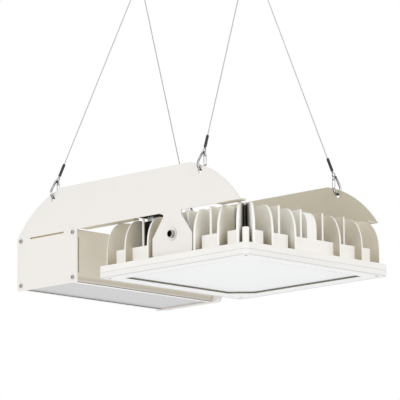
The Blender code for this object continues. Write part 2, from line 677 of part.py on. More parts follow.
def heat_sink_walls():
    """Low walls between the fins, the hub and the corner posts."""
    low, top = at(FLANGE_TOP - FIN_SINK), at(WALL_TOP)
    outer = HEAD_HALF - WALL_RECESS
    inner = outer - WALL_THICK
    narrow = 1 - FIN_FAN * (1 - (outer + inner) / 2 / HEAD_HALF)
    feet = {k: k * FIN_PITCH * narrow for k in WALL_SLOTS}
    gaps = {k: feet[k] + FIN_THICK / 2 + wide for k, wide in WALL_SLOTS.items()}
    spans = [(-feet[2], feet[2])]
    last_foot = HEAD_HALF - CORNER_FIN_INSET - WALL_RECESS * (1 - CORNER_FIN_INSET / CORNER_MEET)
    for near, far in ((gaps[2], feet[4]), (gaps[4], last_foot)):
        spans += [(near, far), (-far, -near)]
    walls = []
    for out, along in head_sides():
        for first, last in spans:
            a = out * inner + along * first
            b = out * outer + along * last
            corner = (HEAD_X + min(a.x, b.x), min(a.y, b.y), low)
            walls.append(box(corner, (HEAD_X + max(a.x, b.x), max(a.y, b.y), top)))
    hub = rod(HUB_RADIUS, low, at(FIN_TOP), ROUND)
    walls.append(place(hub, (HEAD_X, 0, 0)))
    post_top = at(FLANGE_TOP + POST_HEIGHT)
    for x, y in head_corners(CORNER_INSET):
        post = turned([(0, low), (POST_RADIUS, low), (POST_RADIUS, post_top - POST_EDGE),
                       (POST_RADIUS - POST_EDGE, post_top), (0, post_top)], ROUND)
        walls.append(place(post, (x, y, 0)))
    return gather(walls)


def heat_sink():
    flange = rounded(square(HEAD_HALF, HEAD_HALF, (HEAD_X, 0)), [HEAD_CORNER] * 4, 5)
    sink = piece("heat_sink", prism(flange, at(FLANGE_LOW), at(FLANGE_TOP), "Z"), "cast_white")
    combine(sink, heat_sink_walls(), "UNION")
    combine(sink, heat_sink_fins(), "UNION")
    for hand in (-1, 1):
        combine(sink, gather([corner_fin(out, along, hand) for out, along in head_sides()]), "UNION")
    combine(sink, gather([diagonal_fin(out, along) for out, along in head_sides()]), "UNION")
    pocket = square(POCKET_SIDE / 2, POCKET_SIDE / 2, (HEAD_X, 0))
    cuts = [prism(pocket, at(FLANGE_LOW - FIN_SINK), at(POCKET_TOP), "Z")]
    for x, y in head_corners(CORNER_INSET):
        low, high = at(FLANGE_LOW - FIN_SINK), at(FLANGE_TOP + CORNER_SCREW_REACH)
        cuts.append(place(rod(CORNER_SCREW_RADIUS + TOUCH, low, high, 10), (x, y, 0)))
    for sign in SIDES.values():
        depth = rod(BOLT_RADIUS + BOLT_HOLE_SLACK, -BOLT_REACH - TOUCH, PLATE_THICK, ROUND)
        cuts.append(place(depth, (HEAD_X, sign * PLATE_OUTER_Y, at(TAB_BOLT_HEIGHT)), (0, sign, 0)))
    combine(sink, gather(cuts), "DIFFERENCE")


def bezel():
    outline = rounded(square(HEAD_HALF, HEAD_HALF, (HEAD_X, 0)), [HEAD_CORNER] * 4, 5)
    frame = piece("bezel_frame", prism(outline, at(0), at(BEZEL_HEIGHT), "Z"), "cast_white")
    opening = pane(LIP_OPENING, LIP_CHAMFER, (HEAD_X, 0))
    seat = pane(GLASS_SIDE + 2 * GLASS_SLACK, GLASS_CHAMFER, (HEAD_X, 0))
    combine(frame, prism(opening, at(-LIP_HEIGHT), at(BEZEL_HEIGHT), "Z"), "DIFFERENCE")
    cuts = [prism(seat, at(LIP_HEIGHT), at(BEZEL_HEIGHT + LIP_HEIGHT), "Z")]
    for x, y in head_corners(CORNER_INSET):
        bore = CORNER_SCREW_RADIUS + TOUCH
        sink = CORNER_HEAD_RADIUS + TOUCH
        step = CORNER_HEAD_HEIGHT + 2 * TOUCH
        shape = turned([(0, -LIP_HEIGHT), (sink, -LIP_HEIGHT), (sink, step), (bore, step),
                        (bore, BEZEL_HEIGHT + LIP_HEIGHT), (0, BEZEL_HEIGHT + LIP_HEIGHT)], 10)
        cuts.append(place(shape, (x, y, at(0))))
    combine(frame, gather(cuts), "DIFFERENCE")


def bezel_screws():
    reach = BEZEL_HEIGHT + FLANGE_HEIGHT + CORNER_SCREW_REACH - CORNER_HEAD_HEIGHT - 2 * TOUCH
    for side, sy in SIDES.items():
        for end, sx in ENDS.items():
            half = HEAD_HALF - CORNER_INSET
            spot = (HEAD_X + sx * half, sy * half, at(CORNER_HEAD_HEIGHT + TOUCH))
            shape = screw(CORNER_HEAD_RADIUS, CORNER_HEAD_HEIGHT, CORNER_SCREW_RADIUS, reach)
            name = "bezel_screw_" + side + "_" + end
            piece(name, place(shape, spot, (0, 0, -1)), "dark_steel", smooth=True)


def glass_and_gasket():
    sheet = pane(GLASS_SIDE, GLASS_CHAMFER, (HEAD_X, 0))
    low = at(GLASS_LOW)
    piece("cover_glass", prism(sheet, low, low + GLASS_THICK, "Z"), "satin_glass")
    low, high = at(GASKET_LOW), at(GASKET_LOW + GASKET_HEIGHT)
    seal = piece("glass_gasket", prism(sheet, low, high, "Z"), "dark_rubber")
    rim, opening = (pane(LIP_OPENING - 2 * step, LIP_CHAMFER - step * CHAMFER_STEP, (HEAD_X, 0))
                    for step in (TOUCH, GASKET_RIM))
    combine(seal, prism(rim, at(TOUCH), high, "Z"), "UNION")
    combine(seal, prism(opening, at(-LIP_HEIGHT), high + GASKET_HEIGHT, "Z"), "DIFFERENCE")


def light_engine():
    half = BOARD_SIDE / 2
    sheet = square(half, half, (HEAD_X, 0))
    board = piece("led_board", prism(sheet, at(BOARD_LOW), at(BOARD_TOP), "Z"), "board_white")
    chips = []
    span = (EMITTER_ROWS - 1) / 2
    low = at(BOARD_LOW) - EMITTER_HEIGHT
    high = at(BOARD_LOW) + BOARD_THICK / 2
    side = EMITTER_SIDE / 2
    for i in range(EMITTER_ROWS):
        for j in range(EMITTER_ROWS):
            x = HEAD_X + (i - span) * EMITTER_PITCH
            y = (j - span) * EMITTER_PITCH
            chips.append(box((x - side, y - side, low), (x + side, y + side, high)))
    combine(board, gather(chips), "UNION")


def end_screw_spots():
    return [(HOUSING_X + e * END_SCREW_X, h) for e in ENDS.values() for h in (END_SCREW_LOW, END_SCREW_HIGH)]


def driver_housing():
    middle = (at(HOUSING_BOTTOM) + at(HOUSING_TOP)) / 2
    tall = (HOUSING_TOP - HOUSING_BOTTOM) / 2
    corners = [HOUSING_FOOT_CORNER] * 2 + [HOUSING_CORNER] * 2
    section = rounded(square(HOUSING_HALF, tall, (HOUSING_X, middle)), corners)
    shell = piece("driver_housing", prism(section, -HOUSING_END_Y, HOUSING_END_Y, "Y"), "housing_paint")
    past = HOUSING_END_Y + END_GASKET
    hollow = square(INSIDE_HALF, tall - HOUSING_WALL, (HOUSING_X, middle))
    combine(shell, prism(hollow, -past, past, "Y"), "DIFFERENCE")
    window = INSIDE_HALF - HOUSING_LIP
    below = at(HOUSING_BOTTOM) - HOUSING_WALL
    above = below + 3 * HOUSING_WALL
    mouth = box((HOUSING_X - window, -past, below), (HOUSING_X + window, past, above))
    combine(shell, mouth, "DIFFERENCE")
    bars = []
    levels = ((BASE_COVER_TOP + TOUCH, END_SCREW_LOW + SCREW_BAR / 2),
              (END_SCREW_HIGH - SCREW_BAR / 2, HOUSING_TOP - HOUSING_WALL / 2))
    for e in ENDS.values():
        wall = HOUSING_X + e * (HOUSING_HALF - HOUSING_WALL / 2)
        inner = wall - e * SCREW_BAR
        left, right = min(wall, inner), max(wall, inner)
        for low, high in levels:
            bars.append(box((left, -HOUSING_END_Y, at(low)), (right, HOUSING_END_Y, at(high))))
    combine(shell, gather(bars), "UNION")
    notch_low, notch_high = END_SCREW_LOW + END_NOTCH_CLEAR, END_SCREW_HIGH - END_NOTCH_CLEAR
    cuts = [box((HOUSING_X - COVER_HALF, -past, at(notch_low)),
                (HOUSING_X + COVER_HALF, END_NOTCH - HOUSING_END_Y, at(notch_high)))]
    groove_low = HOUSING_BOTTOM + FOOT_GROOVE_UP
    for e in ENDS.values():
        a, b = sorted(HOUSING_X + e * (HOUSING_HALF + step) for step in (-FOOT_GROOVE_IN, FOOT_GROOVE_IN))
        cuts.append(box((a, -past, at(groove_low)), (b, past, at(groove_low + FOOT_GROOVE_HEIGHT))))
    bore = END_SCREW_RADIUS + END_SCREW_HOLE_SLACK
    for x, h in end_screw_spots():
        for sign in SIDES.values():
            hole = rod(bore, -END_SCREW_REACH - END_GASKET, END_GASKET, 12)
            cuts.append(place(hole, (x, sign * HOUSING_END_Y, at(h)), (0, sign, 0)))
    passage = GLAND_THREAD + GLAND_HOLE_SLACK
    mains = rod(passage, -2 * HOUSING_WALL, 2 * HOUSING_WALL)
    cuts.append(place(mains, (HOUSING_X - HOUSING_HALF, MAINS_GLAND_Y, at(MAINS_GLAND_HEIGHT)), (1, 0, 0)))
    top = rod(passage, -2 * HOUSING_WALL, 2 * HOUSING_WALL)
    cuts.append(place(top, (HOUSING_GLAND_X, HOUSING_GLAND_Y, at(HOUSING_TOP))))
    combine(shell, gather(cuts), "DIFFERENCE")


def end_gasket(side):
    sign = SIDES[side]
    near = sign * (HOUSING_END_Y + TOUCH)
    far = sign * (PLATE_INNER_Y - TOUCH)
    low, high = at(HOUSING_BOTTOM) + END_GASKET_INSET, at(HOUSING_TOP) - END_GASKET_INSET
    middle = (low + high) / 2
    half_x = HOUSING_HALF - END_GASKET_INSET
    half_z = (high - low) / 2
    frame = square(half_x, half_z, (HOUSING_X, middle))
    seal = piece(side + "_end_gasket", prism(frame, min(near, far), max(near, far), "Y"), "pale_rubber")
    inside = square(half_x - END_GASKET_BAND, half_z - END_GASKET_BAND, (HOUSING_X, middle))
    cuts = [prism(inside, min(near, far) - END_GASKET, max(near, far) + END_GASKET, "Y")]
    bore = END_SCREW_RADIUS + END_SCREW_HOLE_SLACK
    for x, h in end_screw_spots():
        cuts.append(place(rod(bore, -2 * END_GASKET, 2 * END_GASKET, 12), (x, near, at(h)), (0, 1, 0)))
    combine(seal, gather(cuts), "DIFFERENCE")


def end_screws(side):
    sign = SIDES[side]
    cap = CAP_DEPTH + TOUCH if side == "far" else 0
    seat = sign * (PLATE_OUTER_Y + TOUCH + cap)
    reach = PLATE_OUTER_Y - HOUSING_END_Y + END_SCREW_REACH + cap
    for end, e in ENDS.items():
        for level, height in (("low", END_SCREW_LOW), ("high", END_SCREW_HIGH)):
            shape = screw(END_HEAD_RADIUS, END_HEAD_HEIGHT, END_SCREW_RADIUS, reach)
            spot = (HOUSING_X + e * END_SCREW_X, seat, at(height))
            name = "end_screw_" + side + "_" + end + "_" + level
            piece(name, place(shape, spot, (0, sign, 0)), "steel", smooth=True)


def far_end_cap():
    """Hollow cap over the far cover, held by the four end screws."""
    seat = PLATE_OUTER_Y + TOUCH
    end = seat + CAP_DEPTH
    floor = end - CAP_WALL
    low, high = at(COVER_BOTTOM + CAP_INSET), at(CAP_TOP)
    middle = (low + high) / 2
    half_x = COVER_HALF - CAP_INSET
    half_z = (high - low) / 2
    outline = rounded(square(half_x, half_z, (HOUSING_X, middle)), [CAP_CORNER] * 4)
    cap = piece("far_end_cap", prism(outline, seat, end, "Y"), "white_paint")
    inside = square(half_x - CAP_WALL, half_z - CAP_WALL, (HOUSING_X, middle))
    inside = rounded(inside, [CAP_CORNER - CAP_WALL] * 4)
    combine(cap, prism(inside, seat - CAP_WALL, floor, "Y"), "DIFFERENCE")
    spots = [(x, seat, at(h)) for x, h in end_screw_spots()]
    bosses = [place(rod(CAP_BOSS, 0, CAP_DEPTH - CAP_WALL / 2), spot, (0, 1, 0)) for spot in spots]
    combine(cap, gather(bosses), "UNION")
    bore = END_SCREW_RADIUS + END_SCREW_HOLE_SLACK
    holes = [place(rod(bore, -CAP_WALL, CAP_DEPTH + CAP_WALL, 12), spot, (0, 1, 0)) for spot in spots]
    combine(cap, gather(holes), "DIFFERENCE")


def base_cover():
    sheet = square(INSIDE_HALF - BASE_COVER_SLACK, HOUSING_END_Y, (HOUSING_X, 0))
    piece("driver_base_cover", prism(sheet, at(BASE_COVER_LOW), at(BASE_COVER_TOP), "Z"), "grey_panel")


def driver():
    """Driver unit and terminal block standing on the base cover."""
    floor = at(BASE_COVER_TOP) + TOUCH
    half = DRIVER_LENGTH / 2
    reach = half + DRIVER_FOOT
    step = floor + DRIVER_FOOT_THICK
    top = floor + DRIVER_HEIGHT
    steps = [(-reach, floor), (reach, floor), (reach, step), (half, step),
             (half, top), (-half, top), (-half, step), (-reach, step)]
    side_view = [(DRIVER_Y + y, z) for y, z in steps]
    left, right = HOUSING_X - DRIVER_WIDTH / 2, HOUSING_X + DRIVER_WIDTH / 2
    piece("led_driver", prism(side_view, left, right, "X"), "driver_grey")
    rise = floor + TERMINAL_HEIGHT - TERMINAL_STEP
    top = floor + TERMINAL_HEIGHT
    half = TERMINAL_DEPTH / 2
    inner = half - TERMINAL_STEP
    steps = [(-half, floor), (half, floor), (half, rise), (inner, rise),
             (inner, top), (-inner, top), (-inner, rise), (-half, rise)]
    side_view = [(TERMINAL_Y + y, z) for y, z in steps]
    left, right = HOUSING_X - TERMINAL_WIDTH / 2, HOUSING_X + TERMINAL_WIDTH / 2
    piece("terminal_block", prism(side_view, left, right, "X"), "terminal_green")


def gland_shape():
    """Cable gland standing on a wall at Z zero, with its thread passing down through the wall."""
    bore = LEAD_RADIUS + LEAD_SLACK
    hex_top = TOUCH + GLAND_HEX_HEIGHT
    dome_top = hex_top + GLAND_DOME_HEIGHT
    profile = [(bore, -GLAND_TAIL), (GLAND_THREAD, -GLAND_TAIL), (GLAND_THREAD, TOUCH), (GLAND_HEX, TOUCH),
               (GLAND_HEX, hex_top), (GLAND_DOME_RADIUS, hex_top),
               (GLAND_DOME_RADIUS, dome_top - GLAND_DOME_EDGE),
               (GLAND_DOME_RADIUS - GLAND_DOME_EDGE / 2, dome_top), (bore, dome_top)]
    return turned(profile, 12, closed=True)


def glands():
    mains = (HOUSING_X - HOUSING_HALF, MAINS_GLAND_Y, at(MAINS_GLAND_HEIGHT))
    top = (HOUSING_GLAND_X, HOUSING_GLAND_Y, at(HOUSING_TOP))
    piece("mains_gland", place(gland_shape(), mains, (-1, 0, 0)), "black_plastic", smooth=True)
    piece("housing_lead_gland", place(gland_shape(), top), "black_plastic", smooth=True)
    low = at(FLANGE_TOP) + TOUCH
    body = turned([(0, low), (HEAD_GLAND_FOOT, low), (HEAD_GLAND_FOOT, low + HEAD_GLAND_FOOT_HEIGHT),
                   (HEAD_GLAND_BODY, low + HEAD_GLAND_FOOT_HEIGHT), (HEAD_GLAND_BODY, at(HEAD_GLAND_TOP)),
                   (0, at(HEAD_GLAND_TOP))], 12)
    piece("head_lead_gland", place(body, (HEAD_GLAND_X, HEAD_GLAND_Y, 0)), "black_plastic", smooth=True)
    low = at(HEAD_GLAND_TOP) + TOUCH
    top = low + HEAD_NUT_HEIGHT
    bore = LEAD_RADIUS + LEAD_SLACK
    nut = turned([(bore, low), (HEAD_NUT_RADIUS, low), (HEAD_NUT_RADIUS, top), (bore, top)], 12, closed=True)
    piece("head_gland_nut", place(nut, (HEAD_GLAND_X, HEAD_GLAND_Y, 0)), "steel", smooth=True)


def head_lead():
    """Lead from the lamp head's gland, up behind the near plate and down into the housing's gland."""
    start = Vector((HEAD_GLAND_X, HEAD_GLAND_Y, at(HEAD_GLAND_TOP) + 2 * TOUCH))
    end = Vector((HOUSING_GLAND_X, HOUSING_GLAND_Y, at(HOUSING_TOP) + GLAND_HEX_HEIGHT + 2 * TOUCH))
    rise = Vector((0, 0, LEAD_STRAIGHT))
    over = [Vector((x, y, at(height))) for x, y, height in LEAD_ROUTE]
    knots = [start, start + rise, start + 2 * rise] + over + [end + 2 * rise, end + rise, end]
    tube("head_lead", smooth_route(knots, LEAD_SPACING), LEAD_RADIUS, "black_plastic")


def top_ring(end):
    seat = (ENDS[end] * RING_X, 0, 0)
    profile = arc((RING_RADIUS, 0), RING_WIRE, 0, math.tau * 7 / 8, 7)
    ring = turned(profile, 20, closed=True)
    centre = (seat[0], 0, RING_RADIUS)
    piece(end + "_top_ring", place(ring, centre, (0, 1, 0)), "steel", seat, smooth=True)


def top_crimp(end):
    """Crimp barrel with the loop of wire that hangs on the ring."""
    x = ENDS[end] * RING_X
    barrel = rod(CRIMP_RADIUS, CRIMP_TOP - CRIMP_LENGTH, CRIMP_TOP, 14)
    made = piece(end + "_top_crimp", place(barrel, (x, 0, 0)), "dark_steel", smooth=True)
    loop_radius = RING_WIRE + TOUCH + CRIMP_LOOP_WIRE
    over = [(x, y, z) for y, z in arc((0, 0), loop_radius, -CRIMP_LOOP_DIP, math.pi + CRIMP_LOOP_DIP, 10)]
    foot = CRIMP_TOP - CRIMP_LOOP_WIRE
    path = [(x, CRIMP_LOOP_SPREAD, foot)] + over + [(x, -CRIMP_LOOP_SPREAD, foot)]
    combine(made, swept(path, CRIMP_LOOP_WIRE), "UNION")


class Leg:
    """Places along one hanging leg: its hook, eye, sleeve and wire."""

    def __init__(self, side, end):
        self.name = side + "_" + end
        self.inward = Vector((0, -SIDES[side], 0))
        self.seat = Vector((ENDS[end] * HOOK_HOLE_X, SIDES[side] * PLATE_MID_Y, at(HOOK_SEAT_HEIGHT)))
        lean = HOOK_LEAN
        self.up = Vector((0, 0, 1)) * math.cos(lean) + self.inward * math.sin(lean)
        self.across = self.inward * math.cos(lean) - Vector((0, 0, 1)) * math.sin(lean)
        crown = self.seat + self.up * (HOOK_HEIGHT - HOOK_TOP_BOW)
        crimp_foot = CRIMP_TOP - CRIMP_LENGTH
        self.wire_top = Vector((ENDS[end] * RING_X, SIDES[side] * WIRE_SPREAD, crimp_foot))
        self.aim = (self.wire_top - crown).normalized()
        self.eye_low = crown + self.aim * (HOOK_TOP_BOW - HOOK_ROD - TOUCH - EYE_WIRE)
        self.sleeve_low = self.eye_low + self.aim * EYE_HEIGHT
        self.sleeve_top = self.sleeve_low + self.aim * SLEEVE_LENGTH

    def spot(self, across, up):
        return self.seat + self.across * across + self.up * up


def hook(leg):
    """Pear-shaped snap hook: spine outside the plate, nose and gate inside it."""
    bow = arc((0, HOOK_BOW), HOOK_BOW, 0, -math.pi, 9)
    top_centre = HOOK_HEIGHT - HOOK_TOP_BOW
    crown = arc((0, top_centre), HOOK_TOP_BOW, HOOK_CROWN_START, HOOK_CROWN_END, 5)
    path = [(HOOK_BOW, HOOK_NOSE)] + bow + [(-HOOK_SPINE_OUT, HOOK_SPINE_UP)] + crown
    path.append((HOOK_END_OUT, HOOK_HEIGHT - GATE_PIVOT_DROP - HOOK_ROD))
    tube("hook_" + leg.name, [leg.spot(a, u) for a, u in path], HOOK_ROD, "dark_steel")


def gate(leg):
    """Wire gate hinged beside the inner end of the hook, closing on its nose."""
    pivot = leg.spot(GATE_PIVOT_OUT, HOOK_HEIGHT - GATE_PIVOT_DROP)
    tip = leg.spot(HOOK_BOW, HOOK_NOSE + GATE_SEAT + GATE_WIRE)
    spread = HOOK_ROD + TOUCH + GATE_WIRE
    side = Vector((1, 0, 0))
    down = (tip - pivot).normalized()
    points = [pivot + side * spread - down * GATE_WIRE, pivot + side * spread + down * GATE_WIRE]
    bend = spread * GATE_BEND
    points += [tip + side * spread - down * spread, tip + side * bend - down * (spread - bend), tip]
    points += [tip - side * bend - down * (spread - bend), tip - side * spread - down * spread]
    points += [pivot - side * spread + down * GATE_WIRE, pivot - side * spread - down * GATE_WIRE]
    tube("gate_" + leg.name, points, GATE_WIRE, "steel", pivot)


def eye(leg):
    """Loop of wire from the sleeve round the top of the hook."""
    side = Vector((1, 0, 0))
    centre = leg.eye_low + leg.aim * EYE_RADIUS
    low = [centre + side * EYE_RADIUS * math.cos(a) + leg.aim * EYE_RADIUS * math.sin(a)
           for a in [EYE_TURN_START - EYE_TURN * k / 8 for k in range(9)]]
    end = leg.sleeve_low - leg.aim * TOUCH
    bend = end - leg.aim * EYE_WIRE
    path = [end + side * EYE_SPREAD, bend + side * EYE_SPREAD] + low
    path += [bend - side * EYE_SPREAD, end - side * EYE_SPREAD]
    tube("eye_" + leg.name, path, EYE_WIRE, "steel")


def sleeve(leg):
    shape = rod(SLEEVE_RADIUS, 0, SLEEVE_LENGTH, 12)
    piece("sleeve_" + leg.name, place(shape, leg.sleeve_low, leg.aim), "black_plastic", smooth=True)


def wire(leg):
    start = leg.sleeve_top + leg.aim * TOUCH
    end = leg.wire_top - leg.aim * (TOUCH + WIRE_RADIUS)
    points = [start.lerp(end, k / (WIRE_POINTS - 1)) for k in range(WIRE_POINTS)]
    tube("wire_" + leg.name, points, WIRE_RADIUS, "steel")


def main():
    clear_scene()
    for side in SIDES:
        hanger_plate(side)
        tab_bolt(side)
        end_gasket(side)
        end_screws(side)
    far_end_cap()
    heat_sink()
    bezel()
    bezel_screws()
    glass_and_gasket()
    light_engine()
    driver_housing()
    base_cover()
    driver()
    glands()
    head_lead()
    for end in ENDS:
        top_ring(end)
        top_crimp(end)
    for side in SIDES:
        for end in ENDS:
            leg = Leg(side, end)
            hook(leg)
            gate(leg)
            eye(leg)
            sleeve(leg)
            wire(leg)


main()
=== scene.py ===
import math

import bmesh
import bpy
from mathutils import Matrix, Vector


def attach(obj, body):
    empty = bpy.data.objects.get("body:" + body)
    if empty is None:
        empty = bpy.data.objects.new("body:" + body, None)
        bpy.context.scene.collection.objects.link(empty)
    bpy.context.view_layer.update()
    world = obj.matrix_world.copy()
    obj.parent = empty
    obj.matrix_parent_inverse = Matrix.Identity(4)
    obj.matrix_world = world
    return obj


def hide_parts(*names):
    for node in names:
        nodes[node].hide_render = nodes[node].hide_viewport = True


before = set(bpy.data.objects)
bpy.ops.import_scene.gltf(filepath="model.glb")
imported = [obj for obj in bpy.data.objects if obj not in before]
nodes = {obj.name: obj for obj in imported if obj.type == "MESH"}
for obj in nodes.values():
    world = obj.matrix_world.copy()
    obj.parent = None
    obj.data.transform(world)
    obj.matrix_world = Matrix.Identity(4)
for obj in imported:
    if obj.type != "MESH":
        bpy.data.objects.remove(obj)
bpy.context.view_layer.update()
scene = bpy.context.scene
print("frame loaded with", len(nodes), "nodes")

mm = 0.001
hangDrop = 0.608  # hang line down to the underside of the bezel
headX = 0.115  # middle of the lamp head
headHalf = 0.180
housingX = -0.2005  # middle of the driver housing
plateFace = 176.3 * mm  # seat of the near screws and of both bolts
sideSign = {"near": -1, "far": 1}
endSign = {"left": -1, "right": 1}
legs = [(side, end) for side in sideSign for end in endSign]


def at(height):
    return height * mm - hangDrop  # height in mm above the underside of the bezel


cameraLook = {  # solved from the photo's straight edges
    "place": (4.48504, -4.55493, -1.62522),
    "right": (0.71216609, 0.70195273, -0.0090456),
    "up": (0.13278521, -0.12204218, 0.98360246),
    "ahead": (-0.68933848, 0.70168944, 0.18012324),
    "lens": 328.37,
    "sensor": 36.0,
}


def makeCamera(look):
    data = bpy.data.cameras.new("photoCamera")
    data.sensor_fit = "HORIZONTAL"
    data.sensor_width = look["sensor"]
    data.lens = look["lens"]
    data.clip_start, data.clip_end = 0.05, 100
    camera = bpy.data.objects.new("photoCamera", data)
    right, up, ahead = (Vector(look[k]) for k in ("right", "up", "ahead"))
    turn = Matrix((right, up, -ahead)).transposed().to_4x4()
    camera.matrix_world = Matrix.Translation(look["place"]) @ turn
    scene.collection.objects.link(camera)
    scene.camera = camera


makeCamera(cameraLook)
print("camera placed")


class Finish:
    def __init__(self, name, colour, rough, metal=0.0):
        self.material = bpy.data.materials.new(name)
        self.material.use_nodes = True
        self.tree = self.material.node_tree
        self.shader = self.tree.nodes["Principled BSDF"]
        self.shader.inputs["Metallic"].default_value = metal
        self.shader.inputs["Roughness"].default_value = rough
        self.shader.inputs["Base Color"].default_value = (*colour, 1)
        self.coords = self.node("ShaderNodeTexCoord").outputs["Object"]

    def node(self, kind, **values):
        made = self.tree.nodes.new(kind)
        for key, value in values.items():
            setattr(made, key, value)
        return made

    def feed(self, socket, value):
        if isinstance(value, bpy.types.NodeSocket):
            self.tree.links.new(value, socket)
        else:
            socket.default_value = value

    def noise(self, scale, detail=3.0, stretch=(1, 1, 1)):
        spread = self.node("ShaderNodeMapping")
        spread.inputs["Scale"].default_value = stretch
        self.feed(spread.inputs["Vector"], self.coords)
        made = self.node("ShaderNodeTexNoise")
        made.inputs["Scale"].default_value = scale
        made.inputs["Detail"].default_value = detail
        self.feed(made.inputs["Vector"], spread.outputs["Vector"])
        return made.outputs["Fac"]

    def axes(self):
        made = self.node("ShaderNodeSeparateXYZ")
        self.feed(made.inputs[0], self.coords)
        return made.outputs

    def facing(self):
        made = self.node("ShaderNodeSeparateXYZ")
        self.feed(made.inputs[0], self.node("ShaderNodeNewGeometry").outputs["Normal"])
        return made.outputs

    def sum(self, kind, first, second=0.0):
        made = self.node("ShaderNodeMath", operation=kind)
        self.feed(made.inputs[0], first)
        self.feed(made.inputs[1], second)
        return made.outputs[0]

    def ramp(self, source, low, high, start=0.3, end=0.7):
        made = self.node("ShaderNodeMapRange")
        for key, value in (("From Min", start), ("From Max", end), ("To Min", low), ("To Max", high)):
            made.inputs[key].default_value = value
        self.feed(made.inputs["Value"], source)
        return made.outputs["Result"]

    def mix(self, factor, first, second):
        made = self.node("ShaderNodeMix", data_type="RGBA")
        for socket, value in ((made.inputs[6], first), (made.inputs[7], second)):
            self.feed(socket, (*value, 1) if isinstance(value, tuple) else value)
        self.feed(made.inputs[0], factor)
        return made.outputs[2]

    def paint(self, colour):
        self.feed(self.shader.inputs["Base Color"], colour)

    def roughen(self, source, low, high):
        self.feed(self.shader.inputs["Roughness"], self.ramp(source, low, high))

    def bump(self, source, strength, depth):
        made = self.node("ShaderNodeBump")
        made.inputs["Strength"].default_value = strength
        made.inputs["Distance"].default_value = depth
        self.feed(made.inputs["Height"], source)
        self.feed(self.shader.inputs["Normal"], made.outputs["Normal"])

    def peel(self, rough, grain, depth):
        skin = self.noise(grain, 2.0)
        self.roughen(skin, rough - 0.06, rough + 0.06)
        self.bump(skin, 0.25, depth)


def tinted(colour, factor):
    return tuple(min(1.0, c * factor) for c in colour)


def powderCoat(name, colour, rough, grain=900.0, depth=0.00004):
    made = Finish(name, colour, rough)
    cloud = made.noise(9.0, 4.0)
    made.paint(made.mix(made.ramp(cloud, 0, 1), tinted(colour, 0.975), tinted(colour, 1.01)))
    made.peel(rough, grain, depth)
    return made.material


def platePaint(name, colour, inside, rough):  # the plates' inner faces lie in shade
    made = Finish(name, colour, rough)
    x, y, z = made.axes()
    cloud = made.ramp(made.noise(9.0, 4.0), 0, 1)
    outer = made.mix(cloud, tinted(colour, 0.98), tinted(colour, 1.01))
    inner = made.mix(cloud, tinted(inside, 0.96), tinted(inside, 1.03))
    within = made.ramp(made.sum("ABSOLUTE", y), 1, 0, 173.3 * mm, 174.2 * mm)
    shade = made.sum("MULTIPLY", within, made.ramp(z, 0, 1, at(90), at(94)))
    made.paint(made.mix(shade, outer, inner))
    made.peel(rough, 900.0, 0.00004)
    return made.material


def housingPaint(name, colour, shade, foot, pale, inside, rough):  # painted shade on the side beside the head, darker towards its foot; near-black painted shade in the foot groove and inside the housing
    made = Finish(name, colour, rough)
    x, y, z = made.axes()
    right = made.sum("SUBTRACT", x, housingX)
    wall = made.ramp(made.sum("ABSOLUTE", right), 0, 1, 68.0 * mm, 68.6 * mm)
    floor = made.ramp(z, 1, 0, at(5.3), at(5.6))
    roof = made.ramp(z, 0, 1, at(95.4), at(95.7))
    skin = made.sum("MAXIMUM", wall, made.sum("MAXIMUM", floor, roof))
    cloud = made.ramp(made.noise(9.0, 4.0), 0, 1)
    plain = made.mix(cloud, tinted(colour, 0.97), tinted(colour, 1.01))
    shaded = made.mix(cloud, tinted(shade, 0.97), tinted(shade, 1.02))
    beside = made.mix(made.ramp(z, 0, 1, at(8), at(15)), foot, shaded)
    sides = made.mix(made.ramp(right, 0, 1, 66 * mm, 70 * mm), plain, beside)
    # painted shade: the foot groove near-black
    groove = made.mix(made.ramp(z, 0, 1, at(4.7), at(4.8)), inside, sides)
    outer = made.mix(made.ramp(z, 0, 1, at(3.6), at(3.7)), pale, groove)
    # painted shade: the inner faces of the housing near-black
    made.paint(made.mix(skin, inside, outer))
    made.peel(rough, 900.0, 0.00004)
    return made.material


def bezelPaint(name, colour, lip, rim, rough):  # painted light and shade: the underside painted lighter, as white as the glass, with a grey painted shade along its outer rim
    made = Finish(name, colour, rough)
    x, y, z = made.axes()
    across = made.sum("ABSOLUTE", made.sum("SUBTRACT", x, headX))
    reach = made.sum("SUBTRACT", headHalf, made.sum("MAXIMUM", across, made.sum("ABSOLUTE", y)))
    cloud = made.ramp(made.noise(9.0, 4.0), 0, 1)
    plain = made.mix(cloud, tinted(colour, 0.975), tinted(colour, 1.01))
    # painted shade: grey along the outer rim of the underside
    under = made.mix(made.ramp(reach, 0, 1, 1 * mm, 8 * mm), rim, lip)
    made.paint(made.mix(made.ramp(z, 0, 1, at(0.4), at(0.9)), under, plain))
    made.peel(rough, 800.0, 0.00001)
    made.shader.inputs["Specular IOR Level"].default_value = 0.3
    return made.material


